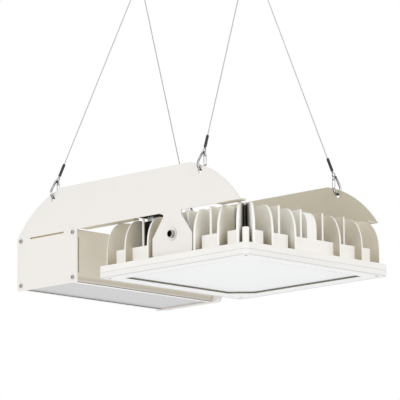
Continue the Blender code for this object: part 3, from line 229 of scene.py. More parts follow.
def castPaint(name, light, shade, deep, dark, rough):  # fin sides lie in shade, the diagonal gaps are darkest
    made = Finish(name, light, rough)
    x, y, z = made.axes()
    turnX, turnY, turnZ = made.facing()
    dx = made.sum("SUBTRACT", x, headX)
    cross = made.sum("SUBTRACT", made.sum("MULTIPLY", turnX, y), made.sum("MULTIPLY", turnY, dx))
    away = made.sum("SQRT", made.sum("ADD", made.sum("MULTIPLY", dx, dx), made.sum("MULTIPLY", y, y)))
    sideways = made.sum("DIVIDE", made.sum("ABSOLUTE", cross), away)
    across, along = made.sum("ABSOLUTE", dx), made.sum("ABSOLUTE", y)
    depth = made.sum("SUBTRACT", headHalf, made.sum("MAXIMUM", across, along))
    inside = made.sum("SUBTRACT", headHalf, made.sum("MINIMUM", across, along))
    above = made.ramp(z, 0, 1, at(20.4), at(21.4))
    post = made.ramp(inside, 0, 1, 21.2 * mm, 22 * mm)
    fin = made.sum("MULTIPLY", made.sum("MULTIPLY", above, post), made.ramp(sideways, 0, 1, 0.68, 0.84))
    low = made.ramp(z, 1, 0, at(20), at(50))
    back = made.ramp(depth, 0, 1, 12 * mm, 42 * mm)
    gap = made.sum("SUBTRACT", across, along)
    swing = made.sum("SUBTRACT", made.sum("MULTIPLY", turnX, made.sum("SIGN", dx)),
                     made.sum("MULTIPLY", turnY, made.sum("SIGN", y)))
    towards = made.ramp(made.sum("MULTIPLY", gap, swing), 1, 0, -2 * mm, -0.5 * mm)
    near = made.ramp(made.sum("ABSOLUTE", gap), 1, 0, 18 * mm, 26 * mm)
    slot = made.sum("MULTIPLY", made.sum("MULTIPLY", towards, near), made.ramp(depth, 0, 1, 14 * mm, 40 * mm))
    cloud = made.ramp(made.noise(14.0, 4.0), 0, 1)
    flange = made.mix(cloud, tinted(light, 0.97), tinted(light, 1.01))
    base = made.mix(above, flange, tinted(light, 1.06))
    lit = made.mix(towards, made.mix(back, shade, tinted(shade, 1.35)), tinted(shade, 2.1))
    side = made.mix(low, lit, deep)
    made.paint(made.mix(made.sum("MULTIPLY", slot, fin), made.mix(fin, base, side), dark))
    made.peel(rough, 650.0, 0.00003)
    return made.material


def linedPanel(name, colour, rough):  # fine lines along the base panel
    made = Finish(name, colour, rough)
    lines = made.node("ShaderNodeTexWave", wave_type="BANDS", bands_direction="X")
    lines.inputs["Scale"].default_value = 34.0
    lines.inputs["Distortion"].default_value = 0.4
    made.feed(lines.inputs["Vector"], made.coords)
    streak = made.noise(160.0, 3.0, (1, 0.03, 1))
    fine = made.sum("MULTIPLY", lines.outputs["Fac"], streak)
    made.paint(made.mix(made.ramp(fine, 0, 1, 0.05, 0.6), tinted(colour, 0.9), tinted(colour, 1.06)))
    made.roughen(streak, rough - 0.06, rough + 0.08)
    made.bump(lines.outputs["Fac"], 0.2, 0.0001)
    return made.material


def plainMetal(name, colour, rough, stretch=(1, 1, 1), scale=700.0):
    made = Finish(name, colour, rough, 1.0)
    streak = made.noise(scale, 3.0, stretch)
    made.paint(made.mix(made.ramp(streak, 0, 1), tinted(colour, 0.86), tinted(colour, 1.08)))
    made.roughen(streak, rough - 0.08, rough + 0.1)
    made.bump(streak, 0.12, 0.00003)
    return made.material


def rodPaintedReflection(name, dark, bright, rough):  # painted reflection: dark and bright bands round the bent wire, set by its facing
    made = Finish(name, dark, rough, 1.0)
    turnX, turnY, turnZ = made.facing()
    band = made.sum("ADD", made.sum("MULTIPLY", turnX, turnY), made.ramp(made.noise(160.0, 2.0), -0.15, 0.15))
    made.paint(made.mix(made.ramp(band, 1, 0, -0.42, -0.02), dark, bright))
    made.roughen(band, rough - 0.05, rough + 0.1)
    return made.material


def socketSteel(name, bright, dark, rough):  # bright bolt head round a socket painted near-black for its shade
    made = Finish(name, bright, rough, 1.0)
    x, y, z = made.axes()
    dx, dz = made.sum("SUBTRACT", x, headX), made.sum("SUBTRACT", z, at(56.6))
    away = made.sum("SQRT", made.sum("ADD", made.sum("MULTIPLY", dx, dx), made.sum("MULTIPLY", dz, dz)))
    streak = made.noise(700.0, 3.0)
    ring = made.mix(made.ramp(streak, 0, 1), tinted(bright, 0.9), tinted(bright, 1.06))
    # painted shade: near-black within the socket
    made.paint(made.mix(made.ramp(away, 0, 1, 5.5 * mm, 5.7 * mm), dark, ring))
    made.roughen(streak, rough - 0.08, rough + 0.1)
    return made.material


def moulded(name, colour, rough, grain=1400.0, depth=0.00005, shine=0.5):
    made = Finish(name, colour, rough)
    made.shader.inputs["Specular IOR Level"].default_value = shine
    speck = made.noise(grain, 2.0)
    made.paint(made.mix(made.ramp(speck, 0, 1), tinted(colour, 0.8), tinted(colour, 1.3)))
    made.roughen(speck, rough - 0.07, rough + 0.07)
    made.bump(speck, 0.3, depth)
    return made.material


def satinGlass(name, colour, rough):
    made = Finish(name, colour, rough)
    frost = made.noise(2200.0, 2.0)
    broad = made.noise(6.0, 2.0)
    made.paint(made.mix(made.ramp(broad, 0, 1), tinted(colour, 0.985), colour))
    made.roughen(frost, rough - 0.05, rough + 0.05)
    made.bump(frost, 0.05, 0.00001)
    made.shader.inputs["Specular IOR Level"].default_value = 0.2
    return made.material


finishes = {
    "plate": platePaint("platePaint", (0.855, 0.83, 0.795), (0.66, 0.615, 0.49), 0.46),
    "cap": powderCoat("capPaint", (0.83, 0.805, 0.77), 0.46),
    "housing": housingPaint("housingPaint", (0.84, 0.81, 0.765), (0.86, 0.80, 0.68),
                            (0.62, 0.58, 0.50), (0.93, 0.92, 0.90),
                            (0.03, 0.028, 0.024), 0.48),
    "casting": castPaint("castPaint", (0.90, 0.88, 0.845), (0.60, 0.55, 0.45), (0.44, 0.38, 0.27),
                         (0.025, 0.02, 0.014), 0.50),
    "bezel": bezelPaint("bezelPaint", (0.875, 0.865, 0.845), (0.90, 0.90, 0.895), (0.66, 0.66, 0.64), 0.5),
    "panel": linedPanel("basePanel", (0.66, 0.66, 0.67), 0.42),
    "glass": satinGlass("satinGlass", (0.905, 0.91, 0.915), 0.5),
    "gasket": moulded("darkGasket", (0.17, 0.16, 0.12), 0.75),
    # the near end gasket: pale rubber painted tan as painted shade
    "gasketPaintedShade": moulded("gasketPaintedShade", (0.55, 0.45, 0.30), 0.75),
    "whiteGasket": moulded("whiteGasket", (0.62, 0.60, 0.56), 0.7),
    "blackPlastic": moulded("blackPlastic", (0.006, 0.006, 0.006), 0.6, shine=0.1),
    "blackSleeve": moulded("blackSleeve", (0.02, 0.02, 0.022), 0.42, 900.0),
    "rubberLead": moulded("rubberLead", (0.02, 0.02, 0.02), 0.55),
    "brightSteel": plainMetal("brightSteel", (0.72, 0.72, 0.73), 0.25),
    "zincNut": plainMetal("zincNut", (0.90, 0.90, 0.92), 0.42),
    "boltSteel": socketSteel("boltSteel", (0.50, 0.48, 0.44), (0.012, 0.011, 0.01), 0.3),
    "washerSteel": plainMetal("washerSteel", (0.74, 0.73, 0.71), 0.4),
    "wireSteel": plainMetal("wireSteel", (0.52, 0.52, 0.53), 0.5),
    # painted reflection bands on the hooks, eyes and gates
    "hookSteel": rodPaintedReflection("hookSteel", (0.03, 0.03, 0.033), (0.60, 0.60, 0.61), 0.22),
    "darkSteel": plainMetal("darkSteel", (0.30, 0.30, 0.31), 0.32),
    "screwSteel": plainMetal("screwSteel", (0.40, 0.38, 0.35), 0.38),
    "board": moulded("boardWhite", (0.80, 0.80, 0.78), 0.5),
    "driver": plainMetal("driverCase", (0.34, 0.35, 0.37), 0.45, (1, 6, 1)),
    "terminal": moulded("terminalGreen", (0.08, 0.30, 0.15), 0.4),
}
print("finishes made:", len(finishes))


def dress(node, key):
    data = nodes[node].data
    data.materials.clear()
    data.materials.append(finishes[key])


def seat(made, body, slot, *replaced):
    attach(made, body)
    if replaced:
        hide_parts(*replaced)
    return made


def addPiece(name, bm, key, body, slot, *replaced, smooth=35, shaded=False):
    bmesh.ops.remove_doubles(bm, verts=bm.verts, dist=1e-6)
    bmesh.ops.recalc_face_normals(bm, faces=bm.faces)
    rounded = [face.smooth or not shaded for face in bm.faces]
    mesh = bpy.data.meshes.new(name)
    bm.to_mesh(mesh)
    bm.free()
    mesh.set_sharp_from_angle(angle=math.radians(smooth))
    mesh.polygons.foreach_set("use_smooth", rounded)
    mesh.materials.append(finishes[key])
    made = bpy.data.objects.new(name, mesh)
    scene.collection.objects.link(made)
    return seat(made, body, slot, *replaced)


def softened(node, name, key, slot, width, segments=2, angle=40):  # a copy of the solid with eased edges
    bm = bmesh.new()
    bm.from_mesh(nodes[node].data)
    bmesh.ops.remove_doubles(bm, verts=bm.verts, dist=1e-6)
    bmesh.ops.dissolve_limit(bm, angle_limit=math.radians(0.5), verts=bm.verts, edges=bm.edges)
    limit = math.radians(angle)
    sharp = [e for e in bm.edges if len(e.link_faces) == 2 and e.calc_face_angle() > limit]
    for face in bm.faces:  # narrow faces of a rounded corner shade as one, wide flat faces keep an even tone
        bends = [e.calc_face_angle(0) for e in face.edges]
        narrow = face.calc_area() / face.calc_perimeter() < 3 * mm
        face.smooth = narrow and any(math.radians(1) < bend < limit for bend in bends)
    eased = bmesh.ops.bevel(bm, geom=sharp, offset=width, offset_type="OFFSET", segments=segments, profile=0.5,
                            affect="EDGES", clamp_overlap=True, material=-1)
    for face in eased["faces"]:
        face.smooth = True
    return addPiece(name, bm, key, "lamp", slot, node, smooth=40, shaded=True)


def lathe(rings, steps, closed=False):  # rings of (height, radius or a function of the angle) about Z
    bm = bmesh.new()
    turns = [math.tau * k / steps for k in range(steps)]
    loops = []
    for height, radius in rings:
        if radius == 0:
            loops.append([bm.verts.new((0, 0, height))] * steps)
            continue
        sizes = [radius(a) if callable(radius) else radius for a in turns]
        loops.append([bm.verts.new((r * math.cos(a), r * math.sin(a), height)) for r, a in zip(sizes, turns)])
    pairs = list(zip(loops, loops[1:])) + ([(loops[-1], loops[0])] if closed else [])
    for low, high in pairs:
        for k in range(steps):
            corners = [low[k], low[k - 1], high[k - 1], high[k]]
            bm.faces.new([v for j, v in enumerate(corners) if v is not corners[j - 1]])
    bmesh.ops.recalc_face_normals(bm, faces=bm.faces)
    return bm


def hexagon(radius):  # radius to the corners
    return lambda a: radius * math.cos(math.pi / 6) / math.cos(a % (math.pi / 3) - math.pi / 6)


def cross(radius):
    return lambda a: radius if abs((a + math.pi / 4) % (math.pi / 2) - math.pi / 4) < 0.3 else radius * 0.34


def ribbed(radius, count, depth):
    return lambda a: radius - depth * (0.5 + 0.5 * math.cos(count * a))


def stand(bm, place, along=(0, 0, 1)):
    turn = Vector((0, 0, 1)).rotation_difference(Vector(along).normalized()).to_matrix().to_4x4()
    bmesh.ops.transform(bm, matrix=Matrix.Translation(place) @ turn, verts=bm.verts)
    return bm


def merged(shapes):
    whole = bmesh.new()
    for shape in shapes:
        scratch = bpy.data.meshes.new("scratch")
        shape.to_mesh(scratch)
        shape.free()
        whole.from_mesh(scratch)
        bpy.data.meshes.remove(scratch)
    return whole


def swept(points, radius, sides):  # closed round bar along a chain of points
    chain = [Vector(p) for p in points]
    bm = bmesh.new()
    ahead = (chain[1] - chain[0]).normalized()
    across = ahead.orthogonal().normalized()
    loops = []
    for k, spot in enumerate(chain):
        before = (spot - chain[k - 1]).normalized() if k else ahead
        after = (chain[k + 1] - spot).normalized() if k < len(chain) - 1 else before
        heading = (before + after).normalized()
        across = ahead.rotation_difference(heading) @ across
        ahead = heading
        second = heading.cross(across)
        spokes = [across * math.cos(math.tau * j / sides) + second * math.sin(math.tau * j / sides)
                  for j in range(sides)]
        loops.append([bm.verts.new(spot + radius * spoke) for spoke in spokes])
    for low, high in zip(loops, loops[1:]):
        for j in range(sides):
            bm.faces.new((low[j - 1], low[j], high[j], high[j - 1]))
    bm.faces.new(loops[0])
    bm.faces.new(loops[-1])
    return bm


def bar(name, points, radius, key, resolution=4):
    curve = bpy.data.curves.new(name, "CURVE")
    curve.dimensions = "3D"
    curve.bevel_depth = radius
    curve.bevel_resolution = resolution
    curve.use_fill_caps = True
    spline = curve.splines.new("POLY")
    spline.points.add(len(points) - 1)
    for spot, point in zip(spline.points, points):
        spot.co = (*point, 1)
    spline.use_smooth = True
    curve.materials.append(finishes[key])
    made = bpy.data.objects.new(name, curve)
    scene.collection.objects.link(made)
    return made


def arc(centre, radius, start, end, steps):
    span = [start + (end - start) * k / steps for k in range(steps + 1)]
    return [(centre[0] + radius * math.cos(a), centre[1] + radius * math.sin(a)) for a in span]


def smoothRoute(knots, count):
    ends = [2 * knots[0] - knots[1]] + knots + [2 * knots[-1] - knots[-2]]
    dense = []
    for a, b, c, d in zip(ends, ends[1:], ends[2:], ends[3:]):
        for k in range(40):
            t = k / 40
            dense.append(0.5 * (2 * b + (c - a) * t + (2 * a - 5 * b + 4 * c - d) * t ** 2
                                + (3 * b - a - 3 * c + d) * t ** 3))
    dense.append(knots[-1])
    lengths = [0]
    for first, second in zip(dense, dense[1:]):
        lengths.append(lengths[-1] + (second - first).length)
    picked = []
    k = 0
    for j in range(count):
        goal = lengths[-1] * j / (count - 1)
        while k < len(dense) - 2 and lengths[k + 1] < goal:
            k += 1
        picked.append(dense[k].lerp(dense[k + 1], (goal - lengths[k]) / (lengths[k + 1] - lengths[k])))
    return picked


legSizes = {
    "holeX": 183.7 * mm, "plateMidY": 174.5 * mm, "seat": at(158.2 + 4.5 - 1.9 - 0.8), "lean": math.radians(15),
    "height": 33 * mm, "bow": 8.8 * mm, "topBow": 3.4 * mm, "rod": 1.9 * mm, "nose": 10.5 * mm,
    "spineOut": 9 * mm, "spineUp": 12.8 * mm, "endOut": 4.1 * mm, "pivotDrop": 4.5 * mm, "pivotOut": 3.74 * mm,
    "gateWire": 0.8 * mm, "gateSeat": 0.4 * mm, "eyeWire": 0.9 * mm, "eyeRadius": 3.6 * mm,
    "eyeHeight": 13 * mm, "eyeSpread": 1.2 * mm, "sleeve": 2.6 * mm, "sleeveLength": 25 * mm,
    "wire": 0.95 * mm, "wireSpread": 1.7 * mm,
    "ringX": 139 * mm, "crimpTop": -8 * mm, "crimpLength": 18 * mm, "touch": 0.3 * mm, "wirePoints": 24,
}


class Leg:  # places shared by the hook, gate, eye, sleeve and wire
    def __init__(self, side, end, s):
        self.name = side + "_" + end
        self.title = side.capitalize() + end.capitalize()
        self.inward = Vector((0, -sideSign[side], 0))
        rise = Vector((0, 0, 1))
        self.seat = Vector((endSign[end] * s["holeX"], sideSign[side] * s["plateMidY"], s["seat"]))
        self.up = rise * math.cos(s["lean"]) + self.inward * math.sin(s["lean"])
        self.across = self.inward * math.cos(s["lean"]) - rise * math.sin(s["lean"])
        crown = self.seat + self.up * (s["height"] - s["topBow"])
        self.wireTop = Vector((endSign[end] * s["ringX"], sideSign[side] * s["wireSpread"],
                               s["crimpTop"] - s["crimpLength"]))
        self.aim = (self.wireTop - crown).normalized()
        self.eyeLow = crown + self.aim * (s["topBow"] - s["rod"] - s["touch"] - s["eyeWire"])
        self.sleeveLow = self.eyeLow + self.aim * s["eyeHeight"]
        self.sleeveTop = self.sleeveLow + self.aim * s["sleeveLength"]

    def spot(self, across, up):
        return self.seat + self.across * across + self.up * up


def makeSleeve(leg, s):
    r, length = s["sleeve"], s["sleeveLength"]
    rings = [(0, 0), (0, r * 0.78), (0.6 * mm, r * 0.95), (2 * mm, r), (length * 0.45, r),
             (length * 0.5, r * 0.9),
             (length * 0.55, r), (length - 2.4 * mm, r), (length - 0.8 * mm, r * 0.9),
             (length, r * 0.7), (length, 0)]
    shape = stand(lathe(rings, 24), leg.sleeveLow, leg.aim)
    return addPiece("sleeve" + leg.title, shape, "blackSleeve", "lamp", "black_plastic", "sleeve_" + leg.name)


def makeEye(leg, s):
    side = Vector((1, 0, 0))
    centre = leg.eyeLow + leg.aim * s["eyeRadius"]
    turns = [math.radians(20 - 220 * k / 24) for k in range(25)]
    low = [centre + side * s["eyeRadius"] * math.cos(a) + leg.aim * s["eyeRadius"] * math.sin(a) for a in turns]
    end = leg.sleeveLow - leg.aim * s["touch"]
    bend = end - leg.aim * s["eyeWire"]
    path = [end + side * s["eyeSpread"], bend + side * s["eyeSpread"]] + low
    path += [bend - side * s["eyeSpread"], end - side * s["eyeSpread"]]
    made = bar("eye" + leg.title, path, s["eyeWire"], "hookSteel")
    return seat(made, "lamp", "steel", "eye_" + leg.name)


def makeWire(leg, s):
    start = leg.sleeveTop + leg.aim * s["touch"]
    end = leg.wireTop - leg.aim * (s["touch"] + s["wire"])
    count = s["wirePoints"]
    points = [start.lerp(end, k / (count - 1)) for k in range(count)]
    made = bar("wire" + leg.title, points, s["wire"], "wireSteel", 3)
    seat(made, "lamp", "steel", "wire_" + leg.name)


def makeHook(leg, s):
    bow = arc((0, s["bow"]), s["bow"], 0, -math.pi, 24)
    crown = arc((0, s["height"] - s["topBow"]), s["topBow"], math.radians(155), math.radians(-10), 14)
    knots = [(s["bow"], s["nose"])] + bow + [(-s["spineOut"], s["spineUp"])]
    flat = knots + crown + [(s["endOut"], s["height"] - s["pivotDrop"] - s["rod"])]
    made = bar("hook" + leg.title, [leg.spot(a, u) for a, u in flat], s["rod"], "hookSteel", 5)
    seat(made, "lamp", "dark_steel", "hook_" + leg.name)


def makeGate(leg, s):
    pivot = leg.spot(s["pivotOut"], s["height"] - s["pivotDrop"])
    tip = leg.spot(s["bow"], s["nose"] + s["gateSeat"] + s["gateWire"])
    spread = s["rod"] + s["touch"] + s["gateWire"]
    side = Vector((1, 0, 0))
    down = (tip - pivot).normalized()
    turns = [math.pi * k / 12 for k in range(13)]
    bend = [tip - down * spread + side * spread * math.cos(a) + down * spread * math.sin(a) for a in turns]
    path = [pivot + side * spread - down * s["gateWire"], pivot + side * spread + down * s["gateWire"]] + bend
    path += [pivot - side * spread + down * s["gateWire"], pivot - side * spread - down * s["gateWire"]]
    made = bar("gate" + leg.title, path, s["gateWire"], "hookSteel", 4)
    seat(made, "gate_" + leg.name + "_body", "steel", "gate_" + leg.name)


for side, end in legs:
    leg = Leg(side, end, legSizes)
    sleevePiece = makeSleeve(leg, legSizes)
    eyePiece = makeEye(leg, legSizes)
    makeWire(leg, legSizes)
    makeHook(leg, legSizes)
    makeGate(leg, legSizes)
print("hanging legs done")


ringSizes = {"x": 139 * mm, "radius": 15 * mm, "wire": 2.5 * mm, "steps": 72, "sides": 20}


def makeRing(end, s):
    loop = [(s["wire"] * math.sin(math.tau * k / s["sides"]),
             s["radius"] + s["wire"] * math.cos(math.tau * k / s["sides"]))
            for k in range(s["sides"])]
    shape = stand(lathe(loop, s["steps"], closed=True), (endSign[end] * s["x"], 0, s["radius"]), (0, 1, 0))
    addPiece(end + "TopRing", shape, "brightSteel", "ceiling_rings", "steel", end + "_top_ring", smooth=60)


crimpSizes = {"x": 139 * mm, "top": -8 * mm, "length": 18 * mm, "radius": 4 * mm, "loopWire": 1 * mm,
              "loopRadius": 3.8 * mm, "dip": math.radians(25), "spread": 2 * mm}


def makeCrimp(end, s):
    x = endSign[end] * s["x"]
    r, low = s["radius"], s["top"] - s["length"]
    rings = [(low, 0), (low, r * 0.85), (low + 0.6 * mm, r)]
    for start in (4 * mm, 10 * mm):  # two pressed bands
        rings += [(low + start, r), (low + start + 0.5 * mm, r * 0.86), (low + start + 3.5 * mm, r * 0.86),
                  (low + start + 4 * mm, r)]
    rings += [(s["top"] - 0.6 * mm, r), (s["top"], r * 0.85), (s["top"], 0)]
    over = [(x, y, z) for y, z in arc((0, 0), s["loopRadius"], -s["dip"], math.pi + s["dip"], 24)]
    foot = s["top"] - s["loopWire"]
    loop = swept([(x, s["spread"], foot)] + over + [(x, -s["spread"], foot)], s["loopWire"], 12)
    shape = merged([stand(lathe(rings, 32), (x, 0, 0)), loop])
    addPiece(end + "TopCrimp", shape, "darkSteel", "lamp", "dark_steel", end + "_top_crimp")


for end in endSign:
    makeRing(end, ringSizes)
    makeCrimp(end, crimpSizes)
print("rings and crimps done")


leadRun = {
    "radius": 4 * mm, "start": (35.8 * mm, -148 * mm, at(95.5 + 0.6)),
    "end": (-174.5 * mm, -152 * mm, at(98.5 + 6 + 0.6)),
    "straight": 10 * mm, "points": 40,
    "over": [(25, -130, 131), (-2, -98, 127), (-32, -84, 123.5), (-62, -82, 126), (-100, -100, 136),
             (-135, -126, 150), (-164, -147, 147)],
}


def makeLead(s):
    rise = Vector((0, 0, s["straight"]))
    start, end = Vector(s["start"]), Vector(s["end"])
    over = [Vector((x * mm, y * mm, at(h))) for x, y, h in s["over"]]
    points = smoothRoute([start, start + rise, start + 2 * rise] + over
                         + [end + 2 * rise, end + rise, end], s["points"])
    made = bar("headLead", points, s["radius"], "rubberLead", 5)
    seat(made, "lamp", "black_plastic", "head_lead")


makeLead(leadRun)
print("lead done")


glandSizes = {"bore": 4.4 * mm, "thread": 8 * mm, "tail": 10 * mm, "hex": 11.5 * mm, "hexTop": 6.3 * mm,
              "dome": 9.5 * mm, "domeTop": 22.3 * mm, "edge": 4 * mm, "ribs": 18, "ribDepth": 0.5 * mm,
              "spots": {"mains_gland": ((housingX - 71 * mm, 110 * mm, at(62)), (-1, 0, 0)),
                        "housing_lead_gland": ((-174.5 * mm, -152 * mm, at(98.5)), (0, 0, 1))}}


def makeGland(node, s):
    place, along = s["spots"][node]
    ridge = ribbed(s["dome"], s["ribs"], s["ribDepth"])
    rings = [(-s["tail"], s["bore"]), (-s["tail"], s["thread"]), (0.3 * mm, s["thread"]),
             (0.3 * mm, hexagon(s["hex"])),
             (s["hexTop"], hexagon(s["hex"])), (s["hexTop"], s["dome"] * 0.93),
             (s["hexTop"] + 1 * mm, s["dome"] * 0.93),
             (s["hexTop"] + 1.4 * mm, ridge), (s["domeTop"] - s["edge"], ridge)]
    rings += [(s["domeTop"] - s["edge"] + s["edge"] * math.sin(a),
               s["dome"] - 0.6 * mm - s["edge"] / 2 * (1 - math.cos(a)))
              for a in (0.0, 0.4, 0.8, 1.2, math.pi / 2)]
    rings += [(s["domeTop"], s["bore"] + 0.5 * mm), (s["domeTop"] - 0.5 * mm, s["bore"])]
    title = {"mains_gland": "mainsGland", "housing_lead_gland": "housingLeadGland"}[node]
    addPiece(title, stand(lathe(rings, 72, closed=True), place, along),
             "blackPlastic", "lamp", "black_plastic", node)


headGlandSizes = {"x": 35.8 * mm, "y": -148 * mm, "low": at(21 + 0.3), "foot": 12 * mm, "footTop": at(27.3),
                  "body": 11.3 * mm, "top": at(91), "ribs": 16, "ribDepth": 0.6 * mm,
                  "nutLow": at(91.3), "nutTop": at(100.2), "nut": 6.6 * mm, "bore": 4.4 * mm,
                  "cap": 23 * mm, "capLow": at(100.5), "capTop": at(104.8), "capRim": 1.6 * mm}


def makeHeadGland(s):
    ridge = ribbed(s["body"], s["ribs"], s["ribDepth"])
    rings = [(s["low"], 0), (s["low"], hexagon(s["foot"])), (s["footTop"], hexagon(s["foot"])),
             (s["footTop"], s["body"] * 0.92), (s["footTop"] + 2 * mm, s["body"] * 0.92),
             (s["footTop"] + 2.5 * mm, ridge),
             (s["top"] - 2 * mm, ridge), (s["top"], s["body"] * 0.8), (s["top"], 0)]
    body = stand(lathe(rings, 72), (s["x"], s["y"], 0))
    rings = [(s["capLow"], s["bore"]), (s["capLow"], s["cap"] - 0.4 * mm), (s["capLow"] + 0.4 * mm, s["cap"]),
             (s["capLow"] + s["capRim"], s["cap"]), (s["capTop"] - 0.6 * mm, 9 * mm), (s["capTop"], 7.5 * mm),
             (s["capTop"], s["bore"])]
    cap = stand(lathe(rings, 72, closed=True), (s["x"], s["y"], 0))
    addPiece("headLeadGland", merged([body, cap]), "blackPlastic", "lamp", "black_plastic", "head_lead_gland")
    edge = 0.6 * mm
    rings = [(s["nutLow"], s["bore"]), (s["nutLow"], s["nut"] * 0.9), (s["nutLow"] + edge, hexagon(s["nut"])),
             (s["nutTop"] - edge, hexagon(s["nut"])), (s["nutTop"], s["nut"] * 0.88), (s["nutTop"], s["bore"])]
    nut = stand(lathe(rings, 48, closed=True), (s["x"], s["y"], 0))
    addPiece("headGlandNut", nut, "zincNut", "lamp", "steel", "head_gland_nut")


for node in glandSizes["spots"]:
    makeGland(node, glandSizes)
makeHeadGland(headGlandSizes)
print("glands done")


boltSizes = {"height": at(56.6), "shank": 4 * mm, "reach": 20 * mm, "bore": 4.35 * mm, "washer": 11 * mm,
             "thick": 1.6 * mm, "seat": 1.9 * mm, "head": 7 * mm, "top": 5.9 * mm,
             "socket": 5.6 * mm, "floor": 2.8 * mm}


def makeBolt(side, s):
    spot, out = (headX, sideSign[side] * plateFace, s["height"]), (0, sideSign[side], 0)
    edge = 0.35 * mm
    rings = [(0, s["bore"]), (0, s["washer"] - edge), (edge, s["washer"]), (s["thick"] - edge, s["washer"]),
             (s["thick"], s["washer"] - edge), (s["thick"], s["bore"])]
    washer = stand(lathe(rings, 64, closed=True), spot, out)
    addPiece(side + "TabWasher", washer, "washerSteel", "lamp", "steel", side + "_tab_washer")
    rings = [(-s["reach"], 0), (-s["reach"], s["shank"]), (s["seat"], s["shank"]),
             (s["seat"], s["head"] - edge),
             (s["seat"] + edge, s["head"]), (s["top"] - 2 * edge, s["head"]), (s["top"], s["head"] - 2 * edge),
             (s["top"], hexagon(s["socket"])), (s["floor"], hexagon(s["socket"] * 0.95)), (s["floor"], 0)]
    addPiece(side + "TabBolt", stand(lathe(rings, 60), spot, out),
             "boltSteel", "lamp", "dark_steel", side + "_tab_bolt")


for side in sideSign:
    makeBolt(side, boltSizes)
print("tab bolts done")


endScrewSizes = {"across": 67.2 * mm, "levels": {"low": at(11.2), "high": at(92)}, "cap": 16.3 * mm,
                 "head": 3.6 * mm, "tall": 2.2 * mm, "shank": 2 * mm, "reach": 19.1 * mm}
bezelScrewSizes = {"inset": 15 * mm, "level": at(2.7), "head": 3.8 * mm, "tall": 2.4 * mm, "shank": 2 * mm,
                   "reach": 29.7 * mm}


def screwShape(s, extra=0.0):
    r, tall = s["head"], s["tall"]
    rings = [(-s["reach"] - extra, 0), (-s["reach"] - extra, s["shank"]), (0, s["shank"]), (0, r * 0.97),
             (0.15 * tall, r), (0.4 * tall, r)]
    rings += [(tall * (0.4 + 0.6 * math.sin(a)), r * (0.66 + 0.34 * math.cos(a)))
              for a in (0.35, 0.7, 1.05, 1.4)]
    rings += [(tall, cross(r * 0.6)), (tall * 0.5, cross(r * 0.5)), (tall * 0.35, 0)]
    return lathe(rings, 64)


def makeEndScrews(s):
    for side, end in legs:
        extra = s["cap"] if side == "far" else 0.0
        for level, height in s["levels"].items():
            spot = (housingX + endSign[end] * s["across"], sideSign[side] * (plateFace + extra), height)
            shape = stand(screwShape(s, extra), spot, (0, sideSign[side], 0))
            node = "end_screw_" + side + "_" + end + "_" + level
            title = "endScrew" + side.capitalize() + end.capitalize() + level.capitalize()
            addPiece(title, shape, "screwSteel", "lamp", "steel", node)


def makeBezelScrews(s):
    for side, end in legs:
        reach = headHalf - s["inset"]
        spot = (headX + endSign[end] * reach, sideSign[side] * reach, s["level"])
        shape = stand(screwShape(s), spot, (0, 0, -1))
        title = "bezelScrew" + side.capitalize() + end.capitalize()
        addPiece(title, shape, "darkSteel", "lamp", "dark_steel", "bezel_screw_" + side + "_" + end)


makeEndScrews(endScrewSizes)
makeBezelScrews(bezelScrewSizes)
print("screws done")


easedPieces = [
    ("near_hanger_plate", "nearHangerPlate", "plate", "white_paint", 0.5 * mm),
    ("far_hanger_plate", "farHangerPlate", "plate", "white_paint", 0.5 * mm),
    ("far_end_cap", "farEndCap", "cap", "white_paint", 0.8 * mm),
    ("driver_housing", "driverHousing", "housing", "housing_paint", 0.4 * mm),
    ("bezel_frame", "bezelFrame", "bezel", "cast_white", 0.5 * mm),
    ("heat_sink", "heatSink", "casting", "cast_white", 0.7 * mm),
    ("driver_base_cover", "driverBaseCover", "panel", "grey_panel", 0.4 * mm),
    ("cover_glass", "coverGlass", "glass", "satin_glass", 0.4 * mm),
]
for node, name, key, slot, width in easedPieces:
    softened(node, name, key, slot, width)
print("plates, housing and lamp head done")

plainNodes = {"glass_gasket": "gasket", "near_end_gasket": "gasketPaintedShade", "far_end_gasket": "whiteGasket",
              "led_board": "board", "led_driver": "driver", "terminal_block": "terminal"}
for node, key in plainNodes.items():
    dress(node, key)
print("hidden nodes dressed")


studio = {
    "floor": -5.0, "floorSize": 30.0, "floorColour": (0.80, 0.80, 0.80), "ambient": 0.78,
    "lamps": [
        ("frontSoftbox", (-0.3, -2.6, -0.35), (-0.1, 0.0, -0.5), 1.6, 14.0),
        ("sideSoftbox", (3.0, -0.2, -0.3), (0.2, 0.0, -0.5), 1.6, 17.0),
        ("lowSoftbox", (0.3, -0.3, -2.2), (0.1, 0.0, -0.6), 1.8, 13.0),
    ],
}


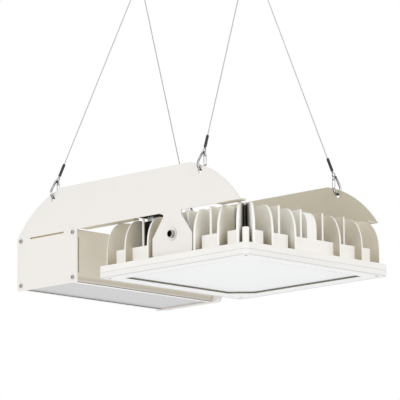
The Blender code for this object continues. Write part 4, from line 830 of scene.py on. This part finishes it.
def makeFloor(s):
    bm = bmesh.new()
    bmesh.ops.create_grid(bm, x_segments=2, y_segments=2, size=s["floorSize"] / 2)
    bmesh.ops.translate(bm, verts=bm.verts, vec=(0, 0, s["floor"]))
    mesh = bpy.data.meshes.new("floor")
    bm.to_mesh(mesh)
    bm.free()
    mesh.materials.append(powderCoat("floorPaper", s["floorColour"], 0.8))
    floor = bpy.data.objects.new("floor", mesh)
    scene.collection.objects.link(floor)


def makeWorld(s):
    world = bpy.data.worlds.new("studioWorld")
    scene.world = world
    world.use_nodes = True
    tree = world.node_tree
    tree.nodes.clear()
    out = tree.nodes.new("ShaderNodeOutputWorld")
    ambient = tree.nodes.new("ShaderNodeBackground")
    ambient.inputs["Color"].default_value = (1, 1, 1, 1)
    ambient.inputs["Strength"].default_value = s["ambient"]
    white = tree.nodes.new("ShaderNodeBackground")
    white.inputs["Color"].default_value = (1, 1, 1, 1)
    path = tree.nodes.new("ShaderNodeLightPath")
    seen = path.outputs["Is Camera Ray"]
    for ray in ("Is Glossy Ray", "Is Transmission Ray"):
        either = tree.nodes.new("ShaderNodeMath")
        either.operation = "MAXIMUM"
        tree.links.new(seen, either.inputs[0])
        tree.links.new(path.outputs[ray], either.inputs[1])
        seen = either.outputs["Value"]
    choose = tree.nodes.new("ShaderNodeMixShader")
    tree.links.new(seen, choose.inputs[0])
    tree.links.new(ambient.outputs[0], choose.inputs[1])
    tree.links.new(white.outputs[0], choose.inputs[2])
    tree.links.new(choose.outputs[0], out.inputs["Surface"])


def makeLamps(s):
    for name, place, target, size, power in s["lamps"]:
        data = bpy.data.lights.new(name, "AREA")
        data.shape = "SQUARE"
        data.size = size
        data.energy = power
        lamp = bpy.data.objects.new(name, data)
        lamp.location = place
        lamp.rotation_euler = (Vector(target) - Vector(place)).to_track_quat("-Z", "Y").to_euler()
        lamp.visible_camera = False
        scene.collection.objects.link(lamp)


makeFloor(studio)
makeWorld(studio)
makeLamps(studio)
scene.view_settings.view_transform = "Standard"
print("studio done")
